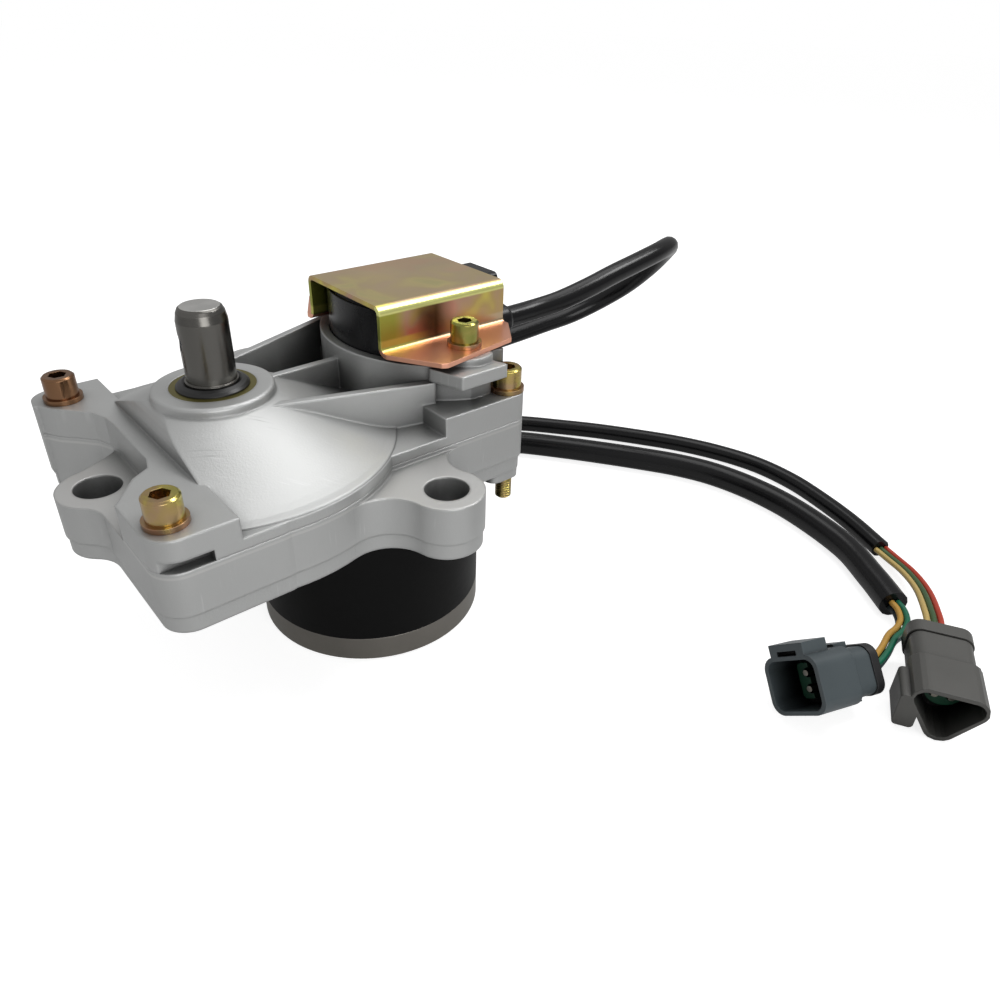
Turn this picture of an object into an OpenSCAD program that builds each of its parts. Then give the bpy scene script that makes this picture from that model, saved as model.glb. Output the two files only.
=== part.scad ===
// Engine governor actuator: a stepping motor below a cast gearcase, a sector gear on the output shaft,
// an angle sensor under a folded bracket, and two sleeved cables with sealed connectors.
// Millimetres, Z up. The origin is the centre of the motor's end face, on which the part stands.

/* [Gear train] */
// Module of all three gears
tooth_module = 1; // [0.9:0.05:1.1]
// Teeth on the motor pinion
pinion_teeth = 14; // [13:1:16]
// Teeth of the full wheel that the sector is cut from
sector_teeth = 78; // [74:1:82]
// Teeth on the sensor gear
sensor_teeth = 36; // [32:1:38]
// Swing of the output shaft to each side, degrees
sector_swing = 45; // [30:1:50]
// Face width of the sector gear
sector_w = 7; // [5:0.5:8]
// Face width of the sensor gear
sensor_gear_w = 4; // [3:0.5:4.5]

/* [Motor] */
// Outer diameter of the motor
motor_d = 81; // [78:1:86]
// Height of the end bell
bell_h = 10; // [9:0.5:14]
// Height of the black shell
shell_h = 42.5; // [40:0.5:50]
// Wall of the shell
shell_wall = 3; // [2:0.5:4]
// Thickness of the shell's closed top
shell_top = 8; // [8:0.5:10]
// Diameter of the motor shaft
motor_shaft_d = 8; // [7:0.5:8]
// Diameter of the rotor
rotor_d = 43; // [38:1:46]
// Outer diameter of the motor bearings
motor_bearing_d = 22; // [20:1:24]
// Width of the motor bearings
motor_bearing_w = 7; // [6:0.5:7]

/* [Gearcase] */
// Height of the lower case
case_h = 20; // [19:0.5:24]
// Wall of the lower case
case_wall = 5; // [4:0.5:7]
// Room between the sector's tips and the case wall
sector_room = 11; // [8:0.5:14]
// Floor of the lower case
case_floor = 5.5; // [5:0.5:6]
// Left wall, measured from the shaft axis
case_left = 42.3; // [41:0.1:46]
// Right wall, measured from the shaft axis
case_right = 94; // [93:0.5:98]
// Half width of the right end
block_half = 48; // [47:0.5:51]
// Thickness of the cover's rim
rim_t = 3.5; // [3:0.25:5]
// Height of the cover's screw pads
pad_h = 10; // [9:0.5:12]
// Height of the dome beside the shaft boss, above the parting face
dome_h = 20; // [18:0.5:21]
// Height of the shaft boss above the parting face
boss_h = 22.5; // [22.5:0.5:25]
// Radius of the shaft boss
boss_r = 18.5; // [18.5:0.5:21]
// Height of the turret above the parting face
turret_h = 22.5; // [22:0.5:25]
// Radius of the turret's round end
turret_r = 45; // [44:0.5:47]
// Thickness of the ribs
rib_t = 2.8; // [2:0.2:4]

/* [Mounting] */
// Diameter of the mounting holes
mount_d = 14; // [10:0.5:15]
// Radius of the mounting lugs
lug_r = 12; // [11:0.5:15]
// Height of the mounting lugs
lug_h = 18.5; // [14:0.5:18.5]
// Diameter of the cover screws
screw_d = 6; // [5:0.5:6]
// Head diameter of the cover screws
head_d = 10; // [9:0.5:11]
// Head height of the cover screws
head_h = 7; // [5:0.5:8]
// Washer diameter
washer_d = 12; // [11:0.5:12.5]
// Washer thickness
washer_t = 1.6; // [1:0.2:2]

/* [Output shaft] */
// Diameter of the output shaft
shaft_d = 16; // [14:0.5:17]
// Height of the shaft's end above the boss
shaft_out = 25; // [20:0.5:30]
// Diameter of the cross pin
cross_pin_d = 5; // [3:0.5:6]
// Length of the cross pin
cross_pin_l = 12; // [10:0.5:14]
// Outer diameter of the shaft bearings
shaft_bearing_d = 32; // [30:0.5:33]
// Width of the shaft bearings
shaft_bearing_w = 8; // [7:0.5:8]
// Outer diameter of the oil seal
seal_d = 26; // [24:0.5:28]
// Height of the oil seal
seal_h = 6; // [5:0.5:6]

/* [Sensor] */
// Width of the sensor body
sensor_w = 40; // [36:0.5:40.5]
// Diameter of the sensor spindle
spindle_d = 6; // [5:0.5:7]
// Length of the folded bracket
bracket_l = 52.5; // [46:0.5:56]
// Width of the bracket over its side walls
bracket_w = 45.6; // [43:0.1:46]
// Height of the bracket above its feet
bracket_h = 16.5; // [15:0.5:20]
// Sheet thickness of the bracket
sheet_t = 1.6; // [1:0.2:1.8]
// Distance of the bracket screws from the middle plane
bracket_screw_y = 33.4; // [32.5:0.1:35]

/* [Cables] */
// Diameter of the sensor cable
sensor_cable_d = 8; // [6:0.5:8]
// Diameter of the motor cable
motor_cable_d = 11.2; // [9:0.2:11.2]
// Diameter of the bare leads
lead_d = 2.2; // [1.6:0.1:2.4]

/* [Hidden] */
$fn = 64;

// Fits: running gap of a shaft, gap of a screw in its hole, gap beside a loose piece
run_gap = 0.05;
screw_gap = 0.1;
side_gap = 0.3;
eps = 0.01;

// Gears
pressure_angle = 20;
addendum = 0.8 * tooth_module;
dedendum = 1.1 * tooth_module;
backlash = 0.16;
function pitch_r(n) = n * tooth_module / 2;
shaft_to_motor = pitch_r(sector_teeth) + pitch_r(pinion_teeth);
motor_to_sensor = pitch_r(pinion_teeth) + pitch_r(sensor_teeth);
shaft_dir = 166;
teeth_between = 6;
sensor_dir = shaft_dir - teeth_between * 360 / pinion_teeth;
shaft_x = shaft_to_motor * cos(shaft_dir);
shaft_y = shaft_to_motor * sin(shaft_dir);
sensor_x = motor_to_sensor * cos(sensor_dir);
sensor_y = motor_to_sensor * sin(sensor_dir);
sector_tip_r = pitch_r(sector_teeth) + addendum;
sensor_tip_r = pitch_r(sensor_teeth) + addendum;
pinion_tip_r = pitch_r(pinion_teeth) + addendum;
sector_edge = sector_swing + 12;

// Levels from the table up
motor_r = motor_d / 2;
case_z = bell_h + shell_h;
part_z = case_z + case_h;
rim_z = part_z + rim_t;
pad_z = part_z + pad_h;
dome_z = part_z + dome_h;
boss_z = part_z + boss_h;
turret_z = part_z + turret_h;
foot_h = 2.5;
foot_z = turret_z + foot_h;
floor_z = case_z + case_floor;
shaft_top_z = boss_z + shaft_out;

// Output shaft stack
shaft_r = shaft_d / 2;
// The end outside the seal is ground a little smaller
stub_r = shaft_r - 0.5;
stub_z = boss_z + 2.2;
relief = 0.5;
sector_z = part_z - 1.5 - sector_w;
// The lower bearing sits just under the sector gear
sector_gap = 0.5;
shaft_base_z = sector_z - sector_gap - shaft_bearing_w;
lower_ring_z = shaft_base_z + shaft_bearing_w;
upper_bearing_z = boss_z - seal_h - 1 - shaft_bearing_w;
hub_r = shaft_r + 4;
key_w = 5;
key_h = 5;
key_l = 12;
key_z = lower_ring_z + 0.3;
ball_share = 0.3;
seal_lip_r = shaft_r + 3;

// Motor stack
motor_shaft_r = motor_shaft_d / 2;
shell_bore = motor_r - shell_wall;
motor_shaft_top = part_z + 5.5;
bell_bearing_z = 3;
upper_motor_bearing_z = case_z - motor_bearing_w;
core_z0 = bell_h + 6;
core_z1 = case_z - shell_top - 4;
rotor_gap = 0.5;
poles = 8;
motor_screw_d = 4;
motor_screw_ring = 20;
pinion_z0 = floor_z + 1;
pinion_z1 = part_z + 1 + sensor_gear_w + 0.4;

// Gearcase outline, in coordinates of the shaft axis
drum_r = sector_tip_r + sector_room + case_wall;
turret_y = 5.5;
front_y = turret_y - block_half;
back_y = turret_y + block_half;
corner_r = 8;
cavity_r = drum_r - case_wall;
motor_cavity_r = motor_screw_ring + 6;
lug_left = [-38.5, 3];
lug_front = [43, -61.8];
lug_back = [44, 68.5];
lug_blend = 10;
// The blends stand this far proud, so that no two faces only just touch
blend_step = 0.02;
lug_blend_drum = 13;
// Bolt pocket beside the left lug, and the notch behind that lug
pocket = [
    [-70, 46], [-41.5, 44.5], [-38.5, 39.5], [-34.1, 34.9], [-29.4, 29.4], [-27.3, 24], [-26.7, 18],
    [-26.7, -10], [-28.4, -15.8], [-33.9, -19.5], [-41.8, -30], [-70, -34]
];
notch = [
    [-70, 46], [-41.5, 44.5], [-38.5, 39.5], [-34.1, 34.9], [-29.4, 29.4], [-27.3, 24], [-27.3, 10], [-70, 10]
];
lug_flare = [
    lug_left, lug_left + (lug_r - 0.8) * [cos(122), sin(122)], [-38, 16], [-31.5, 19.3], [-27, 22.5],
    [-20, 22.5], [-20, lug_left.y]
];
screw_spots = [
    [-case_left + 9.1, drum_r - 10.5],
    [-case_left + 7.6, 9.6 - drum_r],
    [case_right - 5.1, front_y + 6.2],
    [case_right - 5.1, back_y - 6.2]
];
// How far the left and the right cover screws stand out below the case
left_tail = 3;
right_tail = 13.5;
// Feet below the right end, around the screws
end_foot_h = 3.5;
end_foot_l = 14;
end_foot_in = 1.1;
// Room between the feet and the motor
motor_room = 1;
pad_right = -19.4;
dome_left = -21;
dome_round = 6;
dome_steps = 14;
slot_l = 16;
dome_edge_r = drum_r - 0.5;
dome_start_r = boss_r - 1.5;
block_left = 57.5;

// Sensor turret and bracket, in coordinates of the shaft axis
turret_x = case_right - 2;
bracket_x = turret_x - 15.5;
foot_r = 10;
pad_lip_t = 4.5;
turret_wall_y = 41;
turret_floor_z = part_z + 11.5;
sensor_cavity_z = part_z + 1 + sensor_gear_w + 1.4;
pinion_room_r = pinion_tip_r + 1.2;
pinion_room_z = motor_shaft_top + 1;
roof_wall = 1.2;
roof_t = 1.5;
ring_t = 3.2;
gasket_t = 0.8;
fold_r = 3;
foot_reach = 10;
bracket_top_z = foot_z + bracket_h;
sensor_top_z = bracket_top_z - sheet_t - 0.4;
neck_r = 3.4;
outlet_start = bracket_x + bracket_l / 2 + 0.6;
outlet_end = outlet_start + 3.5;
spindle_top_z = turret_floor_z + 8;

// Cable routes on and above the table
sensor_route = [
    [59.9, -0.8, 97.4], [66, -0.8, 97.4], [78, -1, 97.8], [90, -3, 99.5], [104, -4.5, 102.6],
    [118, -5, 105.8], [132, -5, 108.3], [146, -4, 110.3], [158.5, 0.5, 110], [168, 9, 104.5],
    [173, 20.5, 94], [172, 32.5, 82.5], [165, 43, 73], [153, 50, 66.5], [139, 54, 63.5],
    [125, 57, 61], [111, 59.5, 59], [98, 61, 57.5], [85, 62, 56], [72, 63, 52.5],
    [61.5, 64.5, 44], [57.5, 66, 31], [61, 67.5, 17.5], [71.5, 69, 8],
    [88, 71, 4], [104, 74, 4], [119, 75, 4], [131, 72, 4], [140, 65, 4],
    [152, 51, 4], [164.5, 35.5, 4], [177, 17.5, 4], [188.5, -1, 4], [197, -20, 4],
    [202, -40, 4], [201.5, -60, 4], [197, -78.5, 4], [190.5, -97, 4], [181.5, -115.5, 4]
];
// The sensor's cable outlet, in coordinates of the shaft axis, is where the cable's route starts
outlet_y = sensor_route[0].y - shaft_y;
outlet_z = sensor_route[0].z;
motor_gland_dir = 45;
motor_route = [
    [37, 37, 30], [41, 41, 30], [52, 49.5, 27.5], [65, 56, 21], [80, 60, 13], [94, 60.5, 7.5],
    [106, 58, 5.6], [115, 53.5, 5.6], [122.5, 46.5, 5.6], [134, 32, 5.6], [145, 17, 5.6],
    [157, -0.5, 5.6], [167.5, -17.5, 5.6], [174.5, -35, 5.6], [177.5, -56, 5.6], [176, -78, 5.6],
    [168.5, -105, 5.6], [157, -124, 5.6], [147, -138, 5.6]
];
sensor_lead_route = [
    [181.35, -115.8, 4], [178.4, -121.8, 4.2], [171, -132.5, 6], [159, -143, 9],
    [142.7, -152.9, 12.4], [135.7, -156.8, 12.6], [130.5, -159.7, 12.6]
];
motor_lead_route = [
    [146.8, -138.25, 5.6], [144, -142.1, 5.7], [138.5, -145.8, 6], [131, -147.6, 7], [123.5, -148, 8],
    [114, -150, 8.9], [104.2, -150.9, 9.4], [97.4, -149.2, 10.5]
];
// Where the plugs point: heading, tilt of the mouth and roll about the plug's own axis, degrees
sensor_plug_turn = [0, 0, 209];
motor_plug_turn = [43, 9, 166];
// Gap between the end of a lead and the back of its plug
lead_gap = 0.3;

// Helpers

module at_shaft() {
    translate([shaft_x, shaft_y, 0]) children();
}

module at_sensor() {
    translate([sensor_x, sensor_y, 0]) children();
}

module ring(r_out, r_in, z0, z1) {
    rotate_extrude() translate([r_in, z0]) square([r_out - r_in, z1 - z0]);
}

function unit(v) = v / norm(v);

// Where circles of radius ra about a and rb about b cross
function meet(a, ra, b, rb, side) =
    let (
        d = norm(b - a),
        u = (b - a) / d,
        x = (d * d + ra * ra - rb * rb) / (2 * d),
        h = sqrt(ra * ra - x * x)
    )
    a + u * x + side * h * [-u.y, u.x];

// Concave blend of radius f between two circles
module circle_web(a, ra, b, rb, f, side) {
    c = meet(a, ra + f, b, rb + f, side);
    difference() {
        polygon([a, c, b]);
        translate(c) circle(f - blend_step);
    }
}

// Lug of radius r at distance d outside a wall along y = 0, blended to it on the chosen sides
module wall_lug(r, d, f, sides) {
    reach = sqrt(pow(r + f, 2) - pow(f - d, 2));
    translate([0, -d]) circle(r);
    for (s = sides)
        difference() {
            polygon([[0, 1], [s * reach, 1], [s * reach, -f], [0, -d]]);
            translate([s * reach, -f]) circle(f - blend_step);
        }
}

module round_rect(x0, y0, x1, y1, r) {
    translate([x0 + r, y0]) square([x1 - x0 - 2 * r, y1 - y0]);
    translate([x0, y0 + r]) square([x1 - x0, y1 - y0 - 2 * r]);
    for (x = [x0 + r, x1 - r], y = [y0 + r, y1 - r])
        translate([x, y]) circle(r);
}

// Corner arc points of a convex polygon, all corners rounded by r
function corner_points(p, r, n) = [
    for (i = [0 : len(p) - 1])
        let (a = p[(i + len(p) - 1) % len(p)], b = p[i], c = p[(i + 1) % len(p)],
             u = unit(a - b), v = unit(c - b), half = acos(u * v) / 2,
             o = b + unit(u + v) * r / sin(half),
             s = b + u * r / tan(half) - o, e = b + v * r / tan(half) - o)
        for (k = [0 : n]) o + r * unit(s * (n - k) + e * k)
];

// Involute gear outline
function involute(r, base) = r <= base ? 0 : let (a = acos(base / r)) tan(a) * 180 / PI - a;
function half_tooth(n, r) =
    let (p = pitch_r(n), base = p * cos(pressure_angle))
    (PI * tooth_module / 2 - backlash) / 2 / p * 180 / PI + involute(p, base) - involute(r, base);
function tooth_radii(n) =
    let (p = pitch_r(n), base = p * cos(pressure_angle), tip = p + addendum)
    let (low = max(base, p - dedendum + 0.1))
    [p - dedendum, low, low + (tip - low) * 0.35, low + (tip - low) * 0.7, tip];
function tooth(n, at) = concat(
    [for (r = tooth_radii(n)) r * [cos(at - half_tooth(n, r)), sin(at - half_tooth(n, r))]],
    [for (k = [4 : -1 : 0])
        let (r = tooth_radii(n)[k]) r * [cos(at + half_tooth(n, r)), sin(at + half_tooth(n, r))]]
);
module gear_2d(n, at) {
    polygon([for (k = [0 : n - 1]) each tooth(n, at + k * 360 / n)]);
}

// Tube swept along a route's points
function tangents(p) = [
    for (i = [0 : len(p) - 1]) unit(p[min(i + 1, len(p) - 1)] - p[max(i - 1, 0)])
];
function carried(t, n, i = 0) =
    i == len(t) ? [] : let (m = unit(n - (n * t[i]) * t[i])) concat([m], carried(t, m, i + 1));
module tube(p, r, sides) {
    t = tangents(p);
    n = carried(t, cross(t[0], [0, 0, 1]));
    rings = len(p);
    polyhedron(
        points = [
            for (i = [0 : rings - 1], k = [0 : sides - 1])
                p[i] + r * (cos(k * 360 / sides) * n[i] + sin(k * 360 / sides) * cross(t[i], n[i]))
        ],
        faces = concat(
            [[for (k = [0 : sides - 1]) k]],
            [for (i = [0 : rings - 2], k = [0 : sides - 1])
                let (n = (k + 1) % sides)
                [i * sides + k, (i + 1) * sides + k, (i + 1) * sides + n, i * sides + n]],
            [[for (k = [sides - 1 : -1 : 0]) (rings - 1) * sides + k]]
        )
    );
}
function lead_route(p, a, b) =
    let (t = tangents(p))
    [for (i = [0 : len(p) - 1]) p[i] + a * unit([t[i].y, -t[i].x, 0]) + b * [0, 0, 1]];

// Socket-head screw with its head's underside at z = 0 and its shank down
module socket_screw(d, dk, k, l, hex) {
    difference() {
        union() {
            rotate_extrude()
                polygon([[0, 0], [dk / 2, 0], [dk / 2, k - 0.6], [dk / 2 - 0.6, k], [0, k]]);
            translate([0, 0, -l + 0.6]) cylinder(d = d, h = l - 0.6 + eps);
            translate([0, 0, -l]) cylinder(d1 = d - 1.2, d2 = d, h = 0.6 + eps);
        }
        translate([0, 0, k * 0.4]) cylinder(d = hex / cos(30), h = k, $fn = 6);
    }
}

// Ball bearing rings about the Z axis, from z0
module bearing_races(r_in, r_out, z0, w, outer) {
    mid = (r_in + r_out) / 2;
    ball = (r_out - r_in) * ball_share;
    step = (r_out - r_in) * 0.22;
    difference() {
        if (outer) ring(r_out, r_out - step, z0, z0 + w);
        else ring(r_in + step, r_in, z0, z0 + w);
        rotate_extrude() translate([mid, z0 + w / 2]) circle(ball + run_gap);
    }
}
module bearing_balls(r_in, r_out, z0, w, count) {
    for (k = [0 : count - 1])
        rotate(k * 360 / count) translate([(r_in + r_out) / 2, 0, z0 + w / 2])
            sphere((r_out - r_in) * ball_share - run_gap);
}

// Gearcase

// Outline of both halves without the lugs, set in by g
module body_2d(g) {
    round_rect(-case_left + g, -drum_r + g, 0, drum_r - g, corner_r);
    intersection() {
        circle(drum_r - g);
        translate([-20, -2 * drum_r]) square(4 * drum_r);
    }
    round_rect(-case_left / 2, front_y + g, case_right - g, back_y - g, 5);
    translate([-case_left / 2, front_y + g]) square([case_left, back_y - front_y - 2 * g]);
}

module lug_2d(g) {
    translate([-case_left + g, lug_left.y]) rotate(-90)
        wall_lug(lug_r - g, -case_left - lug_left.x + g, lug_blend + g, [1]);
    polygon(lug_flare);
    translate([lug_front.x, front_y + g])
        wall_lug(lug_r - g, front_y - lug_front.y + g, lug_blend + g, [1]);
    circle_web([0, 0], drum_r - g, lug_front, lug_r - g, lug_blend_drum + g, -1);
    polygon([lug_front, [0, 0], [lug_front.x, front_y + g]]);
    translate([lug_back.x, back_y - g]) rotate(180)
        wall_lug(lug_r - g, lug_back.y - back_y + g, lug_blend + g, [-1, 1]);
}

// Outline of the lower case, set in by g
module case_2d(g) {
    difference() {
        body_2d(g);
        polygon(notch);
    }
    lug_2d(g);
}

module case_cavity_2d() {
    intersection() {
        circle(cavity_r);
        translate([-20, -cavity_r]) square([2 * cavity_r, 2 * cavity_r]);
    }
    translate([-shaft_x, -shaft_y]) circle(motor_cavity_r);
}

module gear_case() {
    foot = 5.5;
    color([0.78, 0.79, 0.8]) difference() {
        at_shaft() difference() {
            union() {
                translate([0, 0, case_z]) linear_extrude(foot) case_2d(0.6);
                translate([0, 0, case_z + foot - eps]) linear_extrude(lug_h - foot + eps) case_2d(0);
                translate([0, 0, case_z + lug_h - eps]) linear_extrude(case_h - lug_h + eps) cover_2d();
                for (y = [front_y + end_foot_in, back_y - end_foot_in - end_foot_l])
                    difference() {
                        translate([case_right - end_foot_in - end_foot_l, y, case_z - end_foot_h])
                            linear_extrude(end_foot_h + 1) round_rect(0, 0, end_foot_l, end_foot_l, 4);
                        translate([-shaft_x, -shaft_y, case_z - end_foot_h - 1])
                            cylinder(r = motor_d / 2 + motor_room, h = end_foot_h + 1);
                    }
            }
            difference() {
                translate([0, 0, floor_z]) linear_extrude(case_h) case_cavity_2d();
                translate([0, 0, case_z]) cylinder(r = shaft_bearing_d / 2 + 4, h = lower_ring_z - case_z);
            }
            translate([0, 0, shaft_base_z]) cylinder(d = shaft_bearing_d, h = case_h);
            translate([0, 0, shaft_base_z - relief]) cylinder(d = shaft_bearing_d - 6, h = case_h);
            for (p = [lug_left, lug_front, lug_back])
                translate([p.x, p.y, case_z - 1]) cylinder(d = mount_d, h = case_h + 2);
            for (p = screw_spots)
                translate([p.x, p.y, case_z - end_foot_h - 1])
                    cylinder(d = screw_d + 2 * run_gap, h = case_h + end_foot_h + 2);
        }
        translate([0, 0, case_z - 1]) cylinder(r = pinion_tip_r + 1.2, h = case_h);
        for (k = [0 : 2])
            rotate(shaft_dir + k * 120) translate([motor_screw_ring, 0, case_z - 1])
                cylinder(d = motor_screw_d + 2 * screw_gap, h = case_h);
    }
}

// Cover outline: the body with the bolt pocket at the left lug cut away
module cover_2d() {
    difference() {
        body_2d(0);
        polygon(pocket);
    }
}

// Dome: a bell curve from the boss down to the rim, cut off by a rounded wall on the left
function dome_level(r) =
    let (t = max(0, min(1, (r - dome_start_r) / (dome_edge_r - dome_start_r))))
    rim_z + 0.5 + (dome_z - rim_z - 0.5) * pow(1 - pow(t, 1.3), 1.4);

module dome() {
    difference() {
        intersection() {
            rotate_extrude() polygon(concat(
                [[0, part_z], [0, dome_z]],
                [for (k = [0 : dome_steps])
                    let (r = dome_start_r + (dome_edge_r - dome_start_r) * k / dome_steps)
                    [r, dome_level(r)]],
                [[dome_edge_r, part_z]]
            ));
            translate([0, 0, part_z]) linear_extrude(dome_h + 1) cover_2d();
        }
        translate([0, drum_r, 0]) rotate([90, 0, 0]) linear_extrude(2 * drum_r) polygon(concat(
            [for (a = [90 : 15 : 180])
                [dome_left + dome_round, dome_z - dome_round + 0.3] + dome_round * [cos(a), sin(a)]],
            [[dome_left, part_z - 1], [-2 * drum_r, part_z - 1], [-2 * drum_r, dome_z + 5],
                [dome_left + dome_round, dome_z + 5]]
        ));
    }
}

// Upright rib from a to b, its top running from z0 to z1
module rib(a, b, z0, z1) {
    translate([a.x, a.y, 0]) rotate(atan2(b.y - a.y, b.x - a.x)) rotate([90, 0, 0])
        translate([0, 0, -rib_t / 2]) linear_extrude(rib_t)
            polygon([[0, part_z], [norm(b - a), part_z], [norm(b - a), z1], [0, z0]]);
}

module turret_2d() {
    intersection() {
        translate([turret_x, turret_y]) circle(turret_r);
        translate([0, turret_y - turret_wall_y]) square([turret_x, 2 * turret_wall_y]);
    }
}

// Plan of the sensor's base, smaller than the turret's ring by g
module sensor_2d(g) {
    intersection() {
        translate([turret_x, turret_y]) circle(turret_r - ring_t - g);
        translate([0, turret_y - sensor_w / 2 - side_gap + g])
            square([turret_x - ring_t - g, sensor_w + 2 * side_gap - 2 * g]);
    }
}

// Plan of the sensor's upper body, smaller by g
module sensor_cap_2d(g) {
    intersection() {
        translate([turret_x, turret_y]) circle(turret_r - ring_t - side_gap - g);
        translate([0, turret_y - sensor_w / 2 + g]) square([turret_x + 8, sensor_w - 2 * g]);
    }
}

// Bracket seat: a lip with a turned foot, on the front or the back of the turret
module bracket_seat() {
    translate([0, 0, turret_z - pad_lip_t]) linear_extrude(pad_lip_t)
        polygon([
            [bracket_x - 16, turret_wall_y - 6], [bracket_x - 12, block_half - 0.3],
            [bracket_x + 7, block_half - 0.3], [bracket_x + 7, turret_wall_y - 1],
            [turret_x - 1, turret_wall_y - 1], [turret_x - 1, turret_wall_y - 6]
        ]);
    translate([bracket_x, bracket_screw_y, turret_z - 1]) cylinder(r = foot_r, h = foot_h + 1);
}

module cover_solid() {
    translate([0, 0, part_z]) linear_extrude(rim_t) cover_2d();
    translate([0, 0, part_z]) linear_extrude(pad_h) intersection() {
        cover_2d();
        union() {
            translate([-case_left - 1, -drum_r - 1]) square([case_left + 1 + pad_right, 2 * drum_r + 2]);
            translate([block_left, front_y - 1]) square([case_right - block_left + 1, 2 * block_half + 2]);
        }
    }
    dome();
    rotate_extrude() polygon([
        [0, part_z + 1], [boss_r, part_z + 1], [boss_r, boss_z - 0.9], [boss_r - 0.3, boss_z - 0.3],
        [boss_r - 0.9, boss_z], [0, boss_z]
    ]);
    translate([0, 0, part_z]) linear_extrude(turret_h) turret_2d();
    for (s = [-1, 1])
        translate([0, turret_y, 0]) scale([1, s, 1]) bracket_seat();
    rib([10, -boss_r + 2], [block_left + 5, turret_y - 35], dome_z - 1, turret_z - 5);
    rib([10, boss_r + 4], [block_left + 5, turret_y + 35], dome_z - 1, turret_z - 2);
    rib([10, 1], [turret_x - turret_r + 2, turret_y + 2], dome_z, turret_z - 5);
    // Roof over the pinion, where the dome runs low
    translate([-shaft_x, -shaft_y, part_z])
        cylinder(r = pinion_room_r + roof_wall, h = pinion_room_z + roof_t - part_z);
}

module gear_cover() {
    color([0.78, 0.79, 0.8]) difference() {
        at_shaft() difference() {
            cover_solid();
            for (p = screw_spots)
                translate([p.x, p.y, part_z - 1]) cylinder(d = screw_d + 0.6, h = pad_h + 2);
            for (p = screw_spots)
                translate([p.x, p.y, pad_z]) cylinder(d = washer_d + 1.5, h = turret_h);
            // Pry slot at the front left corner
            translate([-case_left - 1, -drum_r - 1, part_z - 1])
                cube([slot_l, 4.4, 4.4]);
            // Seal, bearing and gear room on the shaft axis
            translate([0, 0, boss_z - seal_h]) cylinder(d = seal_d, h = seal_h + 1);
            translate([0, 0, part_z - 1]) cylinder(r = shaft_r + 3, h = boss_h + 2);
            translate([0, 0, part_z - 1])
                cylinder(d = shaft_bearing_d, h = upper_bearing_z + shaft_bearing_w - part_z + 1);
        }
        translate([0, 0, part_z - 1]) cylinder(r = pinion_room_r, h = pinion_room_z - part_z + 1);
        at_sensor() {
            translate([0, 0, part_z - 1]) cylinder(r = sensor_tip_r + 0.8, h = sensor_cavity_z - part_z + 1);
            translate([0, 0, part_z]) cylinder(d = spindle_d + 4, h = turret_h);
        }
        at_shaft() translate([0, 0, turret_floor_z]) linear_extrude(turret_h + 5) sensor_2d(0);
        at_shaft() for (s = [-1, 1])
            translate([bracket_x, turret_y + s * bracket_screw_y, foot_z - 12]) cylinder(d = 5, h = 13);
    }
}

module cover_screws() {
    color([0.76, 0.6, 0.28]) at_shaft() for (p = screw_spots)
        translate([p.x, p.y, pad_z + washer_t]) {
            tail = p.x < 0 ? left_tail : right_tail;
            socket_screw(screw_d, head_d, head_h, pad_z + washer_t - case_z + tail, head_d / 2);
        }
}

module cover_washers() {
    color([0.72, 0.5, 0.28]) at_shaft() for (p = screw_spots)
        translate([p.x, p.y, 0]) ring(washer_d / 2, screw_d / 2 + 0.2, pad_z, pad_z + washer_t);
}

// Output shaft

// The cross pin's hole, drilled in from the left
module at_cross_pin() {
    translate([0, 0, boss_z + shaft_out * 0.58]) rotate([0, -90, -12])
        translate([0, 0, stub_r - 0.5 - cross_pin_l]) children();
}

module output_shaft() {
    color([0.62, 0.61, 0.6]) at_shaft() difference() {
        rotate_extrude() polygon([
            [0, shaft_base_z], [shaft_r - 1, shaft_base_z], [shaft_r, shaft_base_z + 1], [shaft_r, stub_z],
            [stub_r, stub_z], [stub_r, shaft_top_z - 4.2], [stub_r - 0.5, shaft_top_z - 1.7],
            [stub_r - 1.1, shaft_top_z - 0.5], [stub_r - 1.8, shaft_top_z], [0, shaft_top_z]
        ]);
        at_cross_pin() cylinder(d = cross_pin_d, h = cross_pin_l + 3);
        translate([shaft_r - key_h / 2, -key_w / 2, key_z]) cube([key_h, key_w, key_l]);
    }
}

module shaft_cross_pin() {
    color([0.2, 0.2, 0.21]) at_shaft() at_cross_pin() difference() {
        cylinder(d = cross_pin_d, h = cross_pin_l);
        translate([0, 0, cross_pin_l - 1.5]) cylinder(d = cross_pin_d * 0.45, h = 3);
    }
}

module sector_gear() {
    color([0.55, 0.55, 0.56]) at_shaft() difference() {
        union() {
            translate([0, 0, sector_z]) linear_extrude(sector_w) intersection() {
                gear_2d(sector_teeth, shaft_dir - 180 + 180 / sector_teeth);
                union() {
                    circle(hub_r + 4);
                    rotate(shaft_dir - 180) polygon(concat(
                        [[0, 0]],
                        [for (k = [-6 : 6])
                            2 * sector_tip_r * [cos(k * sector_edge / 6), sin(k * sector_edge / 6)]]
                    ));
                }
            }
            translate([0, 0, lower_ring_z]) cylinder(r = hub_r, h = upper_bearing_z - lower_ring_z);
        }
        translate([0, 0, lower_ring_z - 1]) cylinder(d = shaft_d, h = upper_bearing_z - lower_ring_z + 2);
        translate([0, -key_w / 2, key_z]) cube([shaft_r + key_h / 2, key_w, key_l]);
        for (a = [-32, 0, 32])
            rotate(shaft_dir - 180 + a) translate([sector_tip_r * 0.58, 0, sector_z - 1])
                cylinder(d = 11, h = sector_w + 2);
    }
}

module sector_key() {
    color([0.5, 0.5, 0.52]) at_shaft()
        translate([shaft_r - key_h / 2, -key_w / 2, key_z]) cube([key_h, key_w, key_l]);
}

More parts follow.
